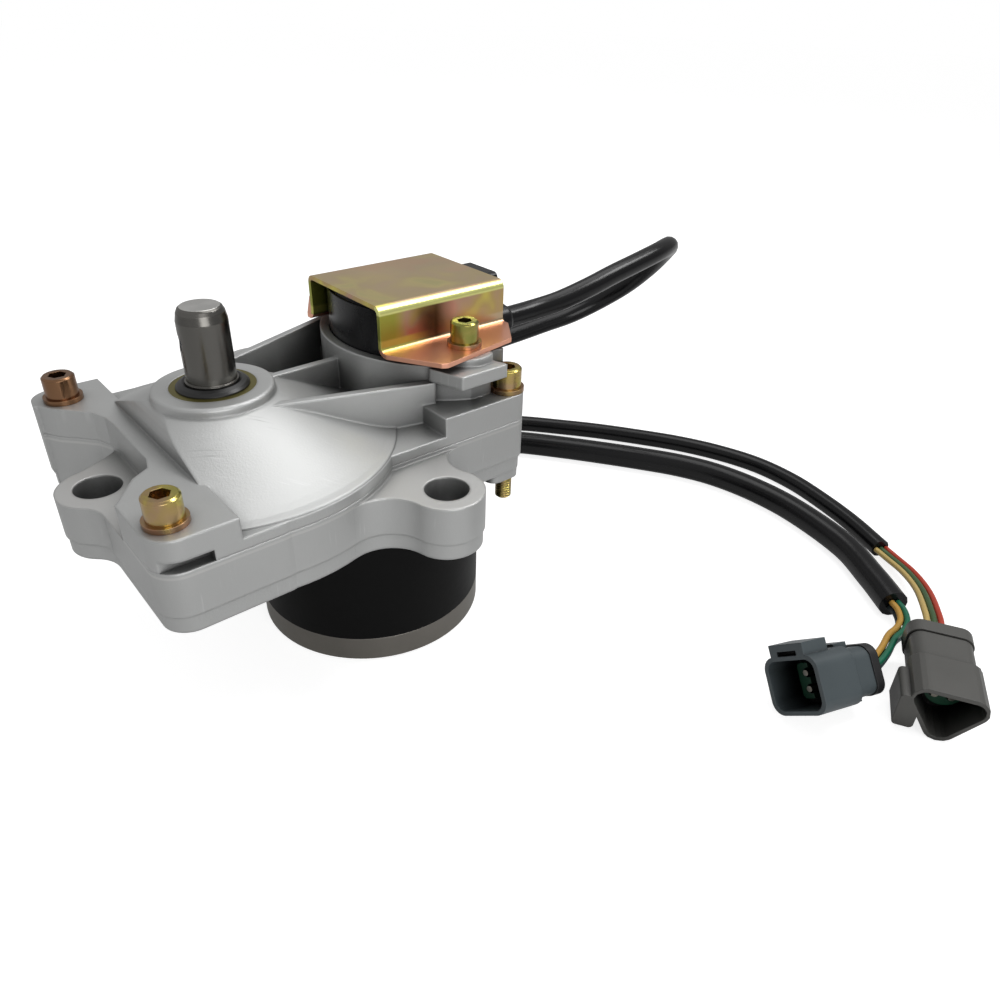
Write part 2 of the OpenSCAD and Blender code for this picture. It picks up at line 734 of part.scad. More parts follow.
module shaft_bearing_outer_rings() {
    color([0.6, 0.6, 0.62]) at_shaft() for (z = [shaft_base_z, upper_bearing_z])
        bearing_races(shaft_r, shaft_bearing_d / 2, z, shaft_bearing_w, true);
}

module shaft_bearing_inner_rings() {
    color([0.6, 0.6, 0.62]) at_shaft() for (z = [shaft_base_z, upper_bearing_z])
        bearing_races(shaft_r, shaft_bearing_d / 2, z, shaft_bearing_w, false);
}

module shaft_bearing_balls() {
    color([0.7, 0.7, 0.72]) at_shaft() for (z = [shaft_base_z, upper_bearing_z])
        bearing_balls(shaft_r, shaft_bearing_d / 2, z, shaft_bearing_w, 9);
}

module seal_case() {
    color([0.36, 0.33, 0.2]) at_shaft() difference() {
        translate([0, 0, boss_z - seal_h]) cylinder(d = seal_d, h = seal_h);
        translate([0, 0, boss_z - seal_h + 1.5]) cylinder(r = seal_lip_r, h = seal_h);
        translate([0, 0, boss_z - seal_h - 1]) cylinder(r = shaft_r + 1, h = seal_h);
    }
}

module seal_lip() {
    color([0.04, 0.04, 0.04]) at_shaft() rotate_extrude() polygon([
        [shaft_r + run_gap, boss_z - seal_h + 1.5], [seal_lip_r, boss_z - seal_h + 1.5],
        [seal_lip_r, boss_z + 0.4], [seal_lip_r - 0.8, boss_z + 1.2], [shaft_r + 0.9, boss_z + 1.8],
        [shaft_r + run_gap, boss_z + 1.4]
    ]);
}

// Motor

module motor_shell() {
    color([0.05, 0.05, 0.05]) difference() {
        translate([0, 0, bell_h]) cylinder(r = motor_r, h = shell_h);
        translate([0, 0, bell_h - 1]) cylinder(r = shell_bore, h = shell_h - shell_top + 1);
        translate([0, 0, bell_h]) cylinder(r = motor_bearing_d / 2 - 2.5, h = shell_h + 1);
        translate([0, 0, upper_motor_bearing_z]) cylinder(d = motor_bearing_d, h = shell_h);
        translate([0, 0, case_z - 1.4]) ring(motor_bearing_d / 2 + 5, motor_bearing_d / 2 + 3, 0, 2);
        for (k = [0 : 2])
            rotate(shaft_dir + k * 120) translate([motor_screw_ring, 0, bell_h])
                cylinder(d = motor_screw_d + 2 * run_gap, h = shell_h + 1);
        rotate(motor_gland_dir) translate([0, 0, motor_route[0].z]) rotate([0, 90, 0])
            cylinder(d = motor_cable_d + 1, h = motor_d);
    }
}

module motor_end_bell() {
    color([0.62, 0.6, 0.56]) difference() {
        union() {
            rotate_extrude() polygon([
                [0, 0], [motor_r - 1, 0], [motor_r, 1], [motor_r, bell_h], [0, bell_h]
            ]);
            translate([0, 0, bell_h - eps]) cylinder(r = shell_bore - run_gap, h = 2.5);
        }
        translate([0, 0, bell_h]) ring(shell_bore - 3, motor_bearing_d / 2 + 2, -3, 4);
        translate([0, 0, bell_bearing_z]) cylinder(d = motor_bearing_d, h = motor_bearing_w);
        translate([0, 0, bell_bearing_z - relief]) cylinder(d = motor_bearing_d - 5, h = bell_h);
        translate([0, 0, bell_bearing_z + motor_bearing_w - eps]) cylinder(d = motor_bearing_d, h = bell_h);
    }
}

module motor_screws() {
    color([0.4, 0.4, 0.42]) for (k = [0 : 2])
        rotate(shaft_dir + k * 120) translate([motor_screw_ring, 0, floor_z])
            socket_screw(motor_screw_d, 7, 3.4, case_floor + shell_top - 1.5, 3);
}

module motor_sealing_ring() {
    color([0.06, 0.06, 0.06])
        ring(motor_bearing_d / 2 + 5, motor_bearing_d / 2 + 3, case_z - 1.4, case_z);
}

// Stator sheet: a ring with poles pointing inwards
module core_2d() {
    difference() {
        circle(shell_bore - run_gap);
        circle(rotor_d / 2 + rotor_gap);
        for (k = [0 : poles - 1])
            rotate((k + 0.5) * 360 / poles) translate([rotor_d / 2 - 1, -1]) square([7, 2]);
        difference() {
            circle(shell_bore - 4);
            circle(rotor_d / 2 + rotor_gap + 2.5);
            for (k = [0 : poles - 1])
                rotate(k * 360 / poles) translate([0, -4]) square([shell_bore, 8]);
        }
    }
}

module stator_core() {
    color([0.45, 0.45, 0.47]) translate([0, 0, core_z0]) linear_extrude(core_z1 - core_z0) core_2d();
}

module stator_coils() {
    neck_in = rotor_d / 2 + rotor_gap + 3.2;
    neck_out = shell_bore - 4.8;
    color([0.7, 0.36, 0.16]) for (k = [0 : poles - 1])
        rotate(k * 360 / poles) translate([neck_in, 0, 0]) difference() {
            translate([0, -6, core_z0 - 2]) cube([neck_out - neck_in, 12, core_z1 - core_z0 + 4]);
            translate([-1, -4, core_z0]) cube([neck_out, 8, core_z1 - core_z0]);
        }
}

module motor_rotor() {
    teeth = 30;
    core_l = core_z1 - core_z0 - 2;
    color([0.5, 0.5, 0.52]) translate([0, 0, core_z0 + 1]) linear_extrude(core_l) difference() {
        union() {
            circle(rotor_d / 2 - 1);
            intersection() {
                circle(rotor_d / 2);
                for (k = [0 : teeth - 1])
                    rotate(k * 360 / teeth) translate([0, -1]) square([rotor_d / 2, 2]);
            }
        }
        circle(motor_shaft_r);
    }
}

module motor_shaft() {
    color([0.65, 0.65, 0.67]) rotate_extrude() polygon([
        [0, bell_bearing_z], [motor_shaft_r - 0.5, bell_bearing_z], [motor_shaft_r, bell_bearing_z + 0.5],
        [motor_shaft_r, motor_shaft_top - 0.5], [motor_shaft_r - 0.5, motor_shaft_top], [0, motor_shaft_top]
    ]);
}

module motor_pinion() {
    color([0.58, 0.58, 0.6]) difference() {
        translate([0, 0, pinion_z0]) linear_extrude(pinion_z1 - pinion_z0) gear_2d(pinion_teeth, shaft_dir);
        translate([0, 0, pinion_z0 - 1]) cylinder(r = motor_shaft_r, h = pinion_z1 - pinion_z0 + 2);
    }
}

module motor_bearing_outer_rings() {
    color([0.6, 0.6, 0.62]) for (z = [bell_bearing_z, upper_motor_bearing_z])
        bearing_races(motor_shaft_r, motor_bearing_d / 2, z, motor_bearing_w, true);
}

module motor_bearing_inner_rings() {
    color([0.6, 0.6, 0.62]) for (z = [bell_bearing_z, upper_motor_bearing_z])
        bearing_races(motor_shaft_r, motor_bearing_d / 2, z, motor_bearing_w, false);
}

module motor_bearing_balls() {
    color([0.7, 0.7, 0.72]) for (z = [bell_bearing_z, upper_motor_bearing_z])
        bearing_balls(motor_shaft_r, motor_bearing_d / 2, z, motor_bearing_w, 8);
}

// Sensor

module sensor_body() {
    base_z = turret_floor_z + gasket_t;
    upper_z = turret_z + side_gap;
    color([0.03, 0.03, 0.035]) difference() {
        at_shaft() union() {
            translate([0, 0, base_z]) linear_extrude(turret_z - base_z + 1) sensor_2d(side_gap);
            translate([0, 0, upper_z]) linear_extrude(sensor_top_z - upper_z - 1.5) sensor_cap_2d(0);
            translate([0, 0, sensor_top_z - 1.5 - eps]) linear_extrude(1.5) sensor_cap_2d(1.2);
            // Neck and collar at the cable, and the square tail beside it
            translate([turret_x, outlet_y, outlet_z]) rotate([0, 90, 0])
                cylinder(r = neck_r, h = outlet_start - turret_x + 1);
            translate([outlet_start, outlet_y, outlet_z]) rotate([0, 90, 0])
                cylinder(d = sensor_cable_d + 4, h = outlet_end - outlet_start);
            translate([turret_x, turret_y - 8, sensor_top_z - 13.5]) rotate([90, 0, 90])
                linear_extrude(20.5) round_rect(0, 0, 18, 13, 2);
        }
        at_sensor() translate([0, 0, base_z - 1])
            cylinder(d = spindle_d + 2 * run_gap, h = spindle_top_z - base_z + 1.5);
        at_shaft() translate([outlet_start + 1, outlet_y, outlet_z]) rotate([0, 90, 0])
            cylinder(d = sensor_cable_d + 1.6, h = 6);
    }
}

module sensor_gasket() {
    color([0.15, 0.15, 0.16]) difference() {
        at_shaft() translate([0, 0, turret_floor_z]) linear_extrude(gasket_t) sensor_2d(side_gap);
        at_sensor() translate([0, 0, turret_floor_z - 1]) cylinder(d = spindle_d + 4, h = 3);
    }
}

module sensor_bush() {
    color([0.72, 0.55, 0.25]) at_sensor()
        ring(spindle_d / 2 + 2, spindle_d / 2 + run_gap, sensor_cavity_z, turret_floor_z);
}

module sensor_spindle() {
    color([0.68, 0.68, 0.7]) at_sensor() translate([0, 0, part_z + 1])
        cylinder(d = spindle_d, h = spindle_top_z - part_z - 1);
}

module sensor_gear() {
    color([0.85, 0.83, 0.76]) at_sensor() difference() {
        translate([0, 0, part_z + 1]) linear_extrude(sensor_gear_w)
            gear_2d(sensor_teeth, sensor_dir + 180 + 180 / sensor_teeth);
        translate([0, 0, part_z]) cylinder(d = spindle_d, h = sensor_gear_w + 2);
    }
}

// Folded bracket section: half of it, from the middle plane out to the foot, with rounded folds
function fold_arc(c, r, a0, a1) = [
    for (k = [0 : 8]) let (a = a0 + (a1 - a0) * k / 8) c + r * [cos(a), sin(a)]
];
module bracket_section() {
    wall = bracket_w / 2;
    edge = bracket_screw_y + foot_reach;
    inner = fold_r - sheet_t;
    polygon(concat(
        [[0, bracket_h], [0, bracket_h - sheet_t]],
        fold_arc([wall - fold_r, bracket_h - fold_r], inner, 90, 0),
        fold_arc([wall - sheet_t + fold_r, fold_r], fold_r, 180, 270),
        [[edge, 0], [edge, sheet_t]],
        fold_arc([wall - sheet_t + fold_r, fold_r], inner, 270, 180),
        fold_arc([wall - fold_r, bracket_h - fold_r], fold_r, 0, 90)
    ));
}

module sensor_bracket() {
    half = bracket_l / 2;
    fold_y = bracket_w / 2 + fold_r;
    edge = bracket_screw_y + foot_reach;
    color([0.6, 0.5, 0.25]) at_shaft() translate([bracket_x, turret_y, foot_z]) difference() {
        intersection() {
            for (s = [-1, 1])
                rotate([90, 0, 90]) translate([0, 0, -half]) linear_extrude(bracket_l)
                    scale([s, 1]) bracket_section();
            translate([0, 0, -1]) linear_extrude(bracket_h + 2) polygon([
                [-half, -fold_y], [-half * 0.62, 1 - edge], [-half * 0.55, -edge], [half * 0.66, 5.6 - edge],
                [half, -fold_y], [half, fold_y], [half * 0.66, edge - 5.6], [-half * 0.55, edge],
                [-half * 0.62, edge - 1], [-half, fold_y]
            ]);
        }
        for (s = [-1, 1])
            translate([0, s * bracket_screw_y, -1]) cylinder(d = 6.6, h = 5);
    }
}

module bracket_screws() {
    color([0.72, 0.62, 0.3]) at_shaft() for (s = [-1, 1])
        translate([bracket_x, turret_y + s * bracket_screw_y, foot_z + sheet_t + washer_t])
            socket_screw(5 - 2 * run_gap, head_d - 0.5, head_h, 12, head_d / 2 - 0.5);
}

module bracket_washers() {
    color([0.35, 0.3, 0.18]) at_shaft() for (s = [-1, 1])
        translate([bracket_x, turret_y + s * bracket_screw_y, 0])
            ring(washer_d / 2 - 0.2, 2.7, foot_z + sheet_t, foot_z + sheet_t + washer_t);
}

// Cables

module sensor_cable_gland() {
    depth = outlet_end - outlet_start - 1;
    color([0.05, 0.05, 0.05]) at_shaft() translate([outlet_start + 1, outlet_y, outlet_z]) rotate([0, 90, 0])
        difference() {
            union() {
                cylinder(d = sensor_cable_d + 1.6, h = depth + 0.5);
                translate([0, 0, depth])
                    cylinder(d1 = sensor_cable_d + 3, d2 = sensor_cable_d + 1.8, h = 1.6);
            }
            translate([0, 0, -1]) cylinder(d = sensor_cable_d, h = depth + 4);
        }
}

module motor_cable_gland() {
    start = norm([motor_route[0].x, motor_route[0].y]);
    color([0.05, 0.05, 0.05]) rotate(motor_gland_dir) difference() {
        union() {
            translate([shell_bore, 0, motor_route[0].z]) rotate([0, 90, 0])
                cylinder(d = motor_cable_d + 1, h = start - shell_bore);
            difference() {
                translate([shell_bore + 1, 0, motor_route[0].z]) rotate([0, 90, 0])
                    cylinder(d = motor_cable_d + 6, h = start + 4 - shell_bore - 1);
                translate([0, 0, bell_h]) cylinder(r = motor_r, h = shell_h);
            }
        }
        translate([start, 0, motor_route[0].z]) rotate([0, 90, 0]) cylinder(d = motor_cable_d, h = 6);
    }
}

module sensor_cable() {
    color([0.03, 0.03, 0.03]) tube(sensor_route, sensor_cable_d / 2, 10);
}

module motor_cable() {
    color([0.03, 0.03, 0.03]) tube(motor_route, motor_cable_d / 2, 10);
}

module sensor_leads() {
    for (k = [-1 : 1])
        color([0.75, 0.2 + 0.2 * abs(k), 0.1])
            tube(lead_route(sensor_lead_route, k * lead_d * 1.08, 0), lead_d / 2, 8);
}

module motor_leads() {
    for (a = [-1, 1], b = [-1, 1])
        color([0.1, 0.4, 0.3])
            tube(lead_route(motor_lead_route, a * lead_d * 0.55, b * lead_d * 0.55), lead_d / 2, 8);
}

// Connectors: local Z runs from the rear, where the leads end, to the mouth, and local Y is up

module at_plug(place, turn) {
    translate(place) rotate([0, -turn.y, turn.z]) rotate([90, 0, 90]) rotate(turn.x)
        translate([0, 0, lead_gap]) children();
}

module at_motor_plug() {
    at_plug(motor_lead_route[len(motor_lead_route) - 1], motor_plug_turn) children();
}

module at_sensor_plug() {
    at_plug(sensor_lead_route[len(sensor_lead_route) - 1], sensor_plug_turn) children();
}

module motor_connector() {
    color([0.27, 0.3, 0.33]) at_motor_plug() difference() {
        union() {
            translate([0, 0, 5]) linear_extrude(11) round_rect(-9.6, -8, 9.6, 8, 4);
            translate([0, 0, 14]) linear_extrude(17) round_rect(-11, -9.4, 11, 9.4, 4.6);
            // Latch bridge on top, and a key below
            translate([0, 0, 20]) linear_extrude(11) {
                translate([-7, 7.5]) square([3, 5.8]);
                translate([4, 7.5]) square([3, 5.8]);
                round_rect(-7, 11, 7, 13.3, 1.1);
            }
            translate([-5, 7.5, 9]) cube([10, 2.8, 6]);
            translate([-4, -9.6, 7]) cube([8, 3, 8]);
        }
        translate([0, 0, 16]) linear_extrude(20) round_rect(-9.6, -8, 9.6, 8, 3.4);
        translate([0, 0, 4]) linear_extrude(7) round_rect(-7, -6, 7, 6, 3);
        for (x = [-2.6, 2.6], y = [-2.6, 2.6])
            translate([x, y, 8]) cylinder(d = 2.2, h = 20);
    }
}

module motor_connector_boot() {
    color([0.04, 0.04, 0.045]) at_motor_plug() {
        linear_extrude(2.5) round_rect(-8.4, -7, 8.4, 7, 3.8);
        translate([0, 0, 1.5]) linear_extrude(3.5) round_rect(-10, -8.4, 10, 8.4, 4.2);
        translate([0, 0, 5 - eps]) linear_extrude(5.8) round_rect(-6.8, -5.8, 6.8, 5.8, 2.9);
    }
}

module motor_connector_wedge() {
    color([0.05, 0.35, 0.22]) at_motor_plug() difference() {
        translate([0, 0, 16]) linear_extrude(5) round_rect(-6.5, -5.8, 6.5, 5.8, 1.5);
        for (x = [-2.6, 2.6], y = [-2.6, 2.6])
            translate([x, y, 15]) cylinder(d = 3.2, h = 9);
        translate([-2, -6, 18.5]) cube([4, 12, 3]);
    }
}

module motor_connector_contacts() {
    color([0.7, 0.7, 0.68]) at_motor_plug() for (x = [-2.6, 2.6], y = [-2.6, 2.6])
        translate([x, y, 11]) cylinder(d = 2, h = 11);
}

// Rounded triangle of the three-way hood, set in by g
function hood_points(g) =
    corner_points([[-15.5 + g * 1.4, 7.6 - g], [0, -16.6 + g * 1.9], [15.5 - g * 1.4, 7.6 - g]], 5 - g, 6);

module sensor_connector() {
    color([0.4, 0.39, 0.37]) at_sensor_plug() difference() {
        union() {
            translate([0, 0, 6]) linear_extrude(16) round_rect(-10, -6.5, 10, 6.5, 4);
            translate([0, 0, 19]) linear_extrude(18) polygon(hood_points(0));
            translate([-14, -10, 23]) linear_extrude(14) round_rect(0, 0, 6.5, 13, 1.5);
            translate([6, -3, 14]) linear_extrude(8) round_rect(0, 0, 6, 6, 1.5);
        }
        translate([0, 0, 22]) linear_extrude(20) polygon(hood_points(1.5));
        translate([0, 0, 5]) linear_extrude(10) round_rect(-8.5, -5, 8.5, 5, 3);
        for (k = [0 : 2])
            rotate(90 + k * 120) translate([2.9, 0, 10]) cylinder(d = 2.2, h = 20);
    }
}

module sensor_connector_cap() {
    color([0.36, 0.35, 0.34]) at_sensor_plug() {
        linear_extrude(5.6) round_rect(-10.6, -7, 10.6, 7, 4.5);
        translate([0, 0, 5.6 - eps]) linear_extrude(9.3) round_rect(-8.3, -4.8, 8.3, 4.8, 2.9);
    }
}

module sensor_connector_wedge() {
    color([0.05, 0.35, 0.22]) at_sensor_plug() difference() {
        translate([0, 0, 22]) linear_extrude(5) circle(5.8);
        for (k = [0 : 2])
            rotate(90 + k * 120) translate([2.9, 0, 20]) cylinder(d = 3.2, h = 10);
    }
}

module sensor_connector_contacts() {
    color([0.7, 0.7, 0.68]) at_sensor_plug() for (k = [0 : 2])
        rotate(90 + k * 120) translate([2.9, 0, 15]) cylinder(d = 2, h = 13);
}

gear_case();
gear_cover();
cover_screws();
cover_washers();
output_shaft();
shaft_cross_pin();
sector_gear();
sector_key();
shaft_bearing_outer_rings();
shaft_bearing_inner_rings();
shaft_bearing_balls();
seal_case();
seal_lip();
motor_shell();
motor_end_bell();
motor_screws();
motor_sealing_ring();
stator_core();
stator_coils();
motor_rotor();
motor_shaft();
motor_pinion();
motor_bearing_outer_rings();
motor_bearing_inner_rings();
motor_bearing_balls();
sensor_body();
sensor_gasket();
sensor_bush();
sensor_spindle();
sensor_gear();
sensor_bracket();
bracket_screws();
bracket_washers();
sensor_cable_gland();
motor_cable_gland();
sensor_cable();
motor_cable();
sensor_leads();
motor_leads();
sensor_connector();
sensor_connector_cap();
sensor_connector_wedge();
sensor_connector_contacts();
motor_connector();
motor_connector_boot();
motor_connector_wedge();
motor_connector_contacts();
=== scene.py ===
"""Engine governor actuator: finishes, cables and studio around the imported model."""

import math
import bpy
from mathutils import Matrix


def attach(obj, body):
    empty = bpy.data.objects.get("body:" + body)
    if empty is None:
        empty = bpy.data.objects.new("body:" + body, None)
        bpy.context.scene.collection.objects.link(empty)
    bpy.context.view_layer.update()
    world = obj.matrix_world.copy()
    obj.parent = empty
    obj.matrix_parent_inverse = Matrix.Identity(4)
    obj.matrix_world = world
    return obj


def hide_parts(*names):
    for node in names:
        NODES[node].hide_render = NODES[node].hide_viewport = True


bl_info = {
    "name": "Engine Governor Actuator",
    "version": (1, 0, 0),
    "blender": (4, 5, 0),
    "location": "View3D > Sidebar > Actuator",
    "description": "Dresses an engine governor actuator with its finishes, cables and studio",
    "category": "Object",
}

import bmesh
import bpy
from mathutils import Matrix, Vector

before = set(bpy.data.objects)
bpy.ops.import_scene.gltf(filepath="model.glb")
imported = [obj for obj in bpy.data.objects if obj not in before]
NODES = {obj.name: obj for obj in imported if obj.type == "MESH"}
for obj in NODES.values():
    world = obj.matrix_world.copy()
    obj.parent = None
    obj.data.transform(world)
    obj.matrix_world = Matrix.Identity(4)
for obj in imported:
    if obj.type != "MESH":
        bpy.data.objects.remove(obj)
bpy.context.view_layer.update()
MM = 0.001

# Routes of the sleeved cables and the bare leads, in millimetres, as in the part's source
SENSOR_ROUTE = [
    (59.9, -0.8, 97.4), (66, -0.8, 97.4), (78, -1, 97.8), (90, -3, 99.5), (104, -4.5, 102.6),
    (118, -5, 105.8), (132, -5, 108.3), (146, -4, 110.3), (158.5, 0.5, 110), (168, 9, 104.5),
    (173, 20.5, 94), (172, 32.5, 82.5), (165, 43, 73), (153, 50, 66.5), (139, 54, 63.5), (125, 57, 61),
    (111, 59.5, 59), (98, 61, 57.5), (85, 62, 56), (72, 63, 52.5), (61.5, 64.5, 44), (57.5, 66, 31),
    (61, 67.5, 17.5), (71.5, 69, 8), (88, 71, 4), (104, 74, 4), (119, 75, 4), (131, 72, 4),
    (140, 65, 4), (152, 51, 4), (164.5, 35.5, 4), (177, 17.5, 4), (188.5, -1, 4), (197, -20, 4),
    (202, -40, 4), (201.5, -60, 4), (197, -78.5, 4), (190.5, -97, 4), (181.5, -115.5, 4),
]
MOTOR_ROUTE = [
    (37, 37, 30), (41, 41, 30), (52, 49.5, 27.5), (65, 56, 21), (80, 60, 13), (94, 60.5, 7.5),
    (106, 58, 5.6), (115, 53.5, 5.6), (122.5, 46.5, 5.6), (134, 32, 5.6), (145, 17, 5.6),
    (157, -0.5, 5.6), (167.5, -17.5, 5.6), (174.5, -35, 5.6), (177.5, -56, 5.6), (176, -78, 5.6),
    (168.5, -105, 5.6), (157, -124, 5.6), (147, -138, 5.6),
]
SENSOR_LEADS = [
    (181.35, -115.8, 4), (178.4, -121.8, 4.2), (171, -132.5, 6), (159, -143, 9), (142.7, -152.9, 12.4),
    (135.7, -156.8, 12.6), (130.5, -159.7, 12.6),
]
MOTOR_LEADS = [
    (146.8, -138.25, 5.6), (144, -142.1, 5.7), (138.5, -145.8, 6), (131, -147.6, 7), (123.5, -148, 8),
    (114, -150, 8.9), (104.2, -150.9, 9.4), (97.4, -149.2, 10.5),
]

# Camera of the photograph, in the part's frame
CAMERA_PLACE = (-0.1268, -0.2157, 0.1970)
CAMERA_TURN = math.radians(-41.7)
CAMERA_DIP = math.radians(32.07)
CAMERA_ROLL = math.radians(-2.02)
CAMERA_LENS = 28.53

# Leads: name, colour, and place beside the bundle's middle, across and up, in lead diameters
SENSOR_SPOTS = (
    ("red", (0.40, 0.035, 0.012), -1.08, 0.0),
    ("green", (0.04, 0.09, 0.03), 0.0, 0.0),
    ("cream", (0.50, 0.36, 0.12), 1.08, 0.0),
)
MOTOR_SPOTS = (
    ("blue", (0.01, 0.06, 0.07), -0.55, -0.55),
    ("green", (0.006, 0.13, 0.07), -0.55, 0.55),
    ("black", (0.012, 0.02, 0.022), 0.55, -0.55),
    ("yellow", (0.48, 0.27, 0.05), 0.55, 0.55),
)

# Lamps: name, place, target, width in metres and power in watts
LAMPS = (
    ("key", (0.28, 0.14, 0.86), (0, 0, 0.07), 0.6, 2.6),
    ("fill", (-0.22, -0.92, 0.38), (0, 0, 0.06), 0.6, 3.9),
    ("strip", (0.58, -0.29, 0.84), (0.03, 0, 0.10), 0.30, 3.2),
)
# Where the world is brightest
BRIGHT_SIDE = (-0.52, 0.10, 0.85)
# How much of the white background polished metal shows
WHITE_IN_METAL = 0.2
# Half the floor's width, in metres
FLOOR_REACH = 6.0

# Heights on the part where a finish or painted light changes, in metres
LUG_TOPS = (0.0705, 0.0715)
SCREW_TAILS = 0.0525
SHAFT_END = 0.1199
BRACKET_FLANGE = 0.0995
BRACKET_WALL = (0.0990, 0.1122)
BRACKET_FOOT = (0.0993, 0.1030)
BRACKET_FOLD = (0.1108, 0.1138)
BRACKET_CLOUDS = 0.100
# Places along X, and along Y for the front and the depth, where a finish or painted light changes
BRACKET_LEFT = 0.0160
BRACKET_FOOT_LEFT = 0.0260
BRACKET_DARK = (0.020, 0.036)
BRACKET_RIGHT = 0.047
BRACKET_FRONT = -0.0030
RUB_ACROSS = (-0.066, -0.036)
RUB_DEPTH = (-0.022, -0.008)
# Past the part on any axis
FAR = 0.2

# Depth of the grain and of a screw's thread, in metres, and how close the thread's turns lie
GRAIN_RISE = 0.0004
THREAD_RISE = 0.0005
THREAD_SCALE = 314.0

# Points on the smooth curve between two points of a route
ROUTE_STEPS = 6


class ActuatorSizes(bpy.types.PropertyGroup):
    """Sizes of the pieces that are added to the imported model"""

    sensor_sleeve: bpy.props.FloatProperty(
        name="Sensor sleeve", description="Diameter of the sensor cable's sleeve",
        default=0.008, min=0.004, max=0.012, subtype="DISTANCE", unit="LENGTH")
    motor_sleeve: bpy.props.FloatProperty(
        name="Motor sleeve", description="Diameter of the motor cable's sleeve",
        default=0.0112, min=0.006, max=0.016, subtype="DISTANCE", unit="LENGTH")
    lead: bpy.props.FloatProperty(
        name="Lead", description="Diameter of a bare lead",
        default=0.0022, min=0.001, max=0.003, subtype="DISTANCE", unit="LENGTH")
    edge: bpy.props.FloatProperty(
        name="Cast edge", description="Radius that the castings' edges look rounded to",
        default=0.0011, min=0.0, max=0.002, subtype="DISTANCE", unit="LENGTH")


class ActuatorColours(bpy.types.PropertyGroup):
    """Main colours of the actuator's finishes"""

    casting: bpy.props.FloatVectorProperty(
        name="Casting", description="Cast aluminium", subtype="COLOR", size=4,
        default=(0.47, 0.475, 0.47, 1.0), min=0.0, max=1.0)
    zinc: bpy.props.FloatVectorProperty(
        name="Zinc", description="Yellow passivated screws", subtype="COLOR", size=4,
        default=(0.38, 0.28, 0.11, 1.0), min=0.0, max=1.0)
    sleeve: bpy.props.FloatVectorProperty(
        name="Sleeve", description="Cable sleeves", subtype="COLOR", size=4,
        default=(0.004, 0.004, 0.0045, 1.0), min=0.0, max=1.0)
    motor: bpy.props.FloatVectorProperty(
        name="Motor", description="Motor shell", subtype="COLOR", size=4,
        default=(0.004, 0.004, 0.004, 1.0), min=0.0, max=1.0)
    sensor_plug: bpy.props.FloatVectorProperty(
        name="Sensor plug", description="Three-way connector", subtype="COLOR", size=4,
        default=(0.075, 0.074, 0.069, 1.0), min=0.0, max=1.0)
    motor_plug: bpy.props.FloatVectorProperty(
        name="Motor plug", description="Four-way connector", subtype="COLOR", size=4,
        default=(0.060, 0.074, 0.080, 1.0), min=0.0, max=1.0)


# Node groups shared by the finishes


def node_group(name, inputs, outputs):
    """A shader node group with named sockets: each input is (name, socket type, default)."""
    tree = bpy.data.node_groups.new(name, "ShaderNodeTree")
    for label, kind, default in inputs:
        socket = tree.interface.new_socket(label, in_out="INPUT", socket_type=kind)
        socket.default_value = default
    for label, kind in outputs:
        tree.interface.new_socket(label, in_out="OUTPUT", socket_type=kind)
    return tree, tree.nodes.new("NodeGroupInput"), tree.nodes.new("NodeGroupOutput")


def add(tree, kind, values=None, **settings):
    """A node with its settings and its input values."""
    node = tree.nodes.new(kind)
    for key, value in settings.items():
        setattr(node, key, value)
    for key, value in (values or {}).items():
        node.inputs[key].default_value = value
    return node


def join(tree, *pairs):
    """Links each pair of sockets."""
    for source, target in pairs:
        tree.links.new(source, target)


def make_edge_group():
    """Rounded normal at edges, and a mask that is bright there."""
    tree, into, out = node_group(
        "Rounded edge", [("Radius", "NodeSocketFloat", 0.0006), ("Width", "NodeSocketFloat", 0.25)],
        [("Normal", "NodeSocketVector"), ("Edge", "NodeSocketFloat")])
    bevel = add(tree, "ShaderNodeBevel", samples=6)
    geometry = add(tree, "ShaderNodeNewGeometry")
    dot = add(tree, "ShaderNodeVectorMath", operation="DOT_PRODUCT")
    flip = add(tree, "ShaderNodeMath", {0: 1.0}, operation="SUBTRACT")
    share = add(tree, "ShaderNodeMath", operation="DIVIDE", use_clamp=True)
    join(tree, (into.outputs["Radius"], bevel.inputs["Radius"]),
         (bevel.outputs["Normal"], dot.inputs[0]), (geometry.outputs["True Normal"], dot.inputs[1]),
         (dot.outputs["Value"], flip.inputs[1]), (flip.outputs[0], share.inputs[0]),
         (into.outputs["Width"], share.inputs[1]),
         (bevel.outputs["Normal"], out.inputs["Normal"]), (share.outputs[0], out.inputs["Edge"]))
    return tree


def make_grain_group():
    """Fine cast or moulded grain as a height, with a slow tone for colour and gloss."""
    tree, into, out = node_group(
        "Fine grain", [("Scale", "NodeSocketFloat", 900.0), ("Patch", "NodeSocketFloat", 60.0)],
        [("Height", "NodeSocketFloat"), ("Tone", "NodeSocketFloat")])
    place = add(tree, "ShaderNodeTexCoord")
    fine = add(tree, "ShaderNodeTexNoise", {"Detail": 3.0, "Roughness": 0.6})
    slow = add(tree, "ShaderNodeTexNoise", {"Detail": 4.0, "Roughness": 0.55})
    join(tree, (place.outputs["Object"], fine.inputs["Vector"]),
         (place.outputs["Object"], slow.inputs["Vector"]),
         (into.outputs["Scale"], fine.inputs["Scale"]), (into.outputs["Patch"], slow.inputs["Scale"]),
         (fine.outputs["Fac"], out.inputs["Height"]), (slow.outputs["Fac"], out.inputs["Tone"]))
    return tree


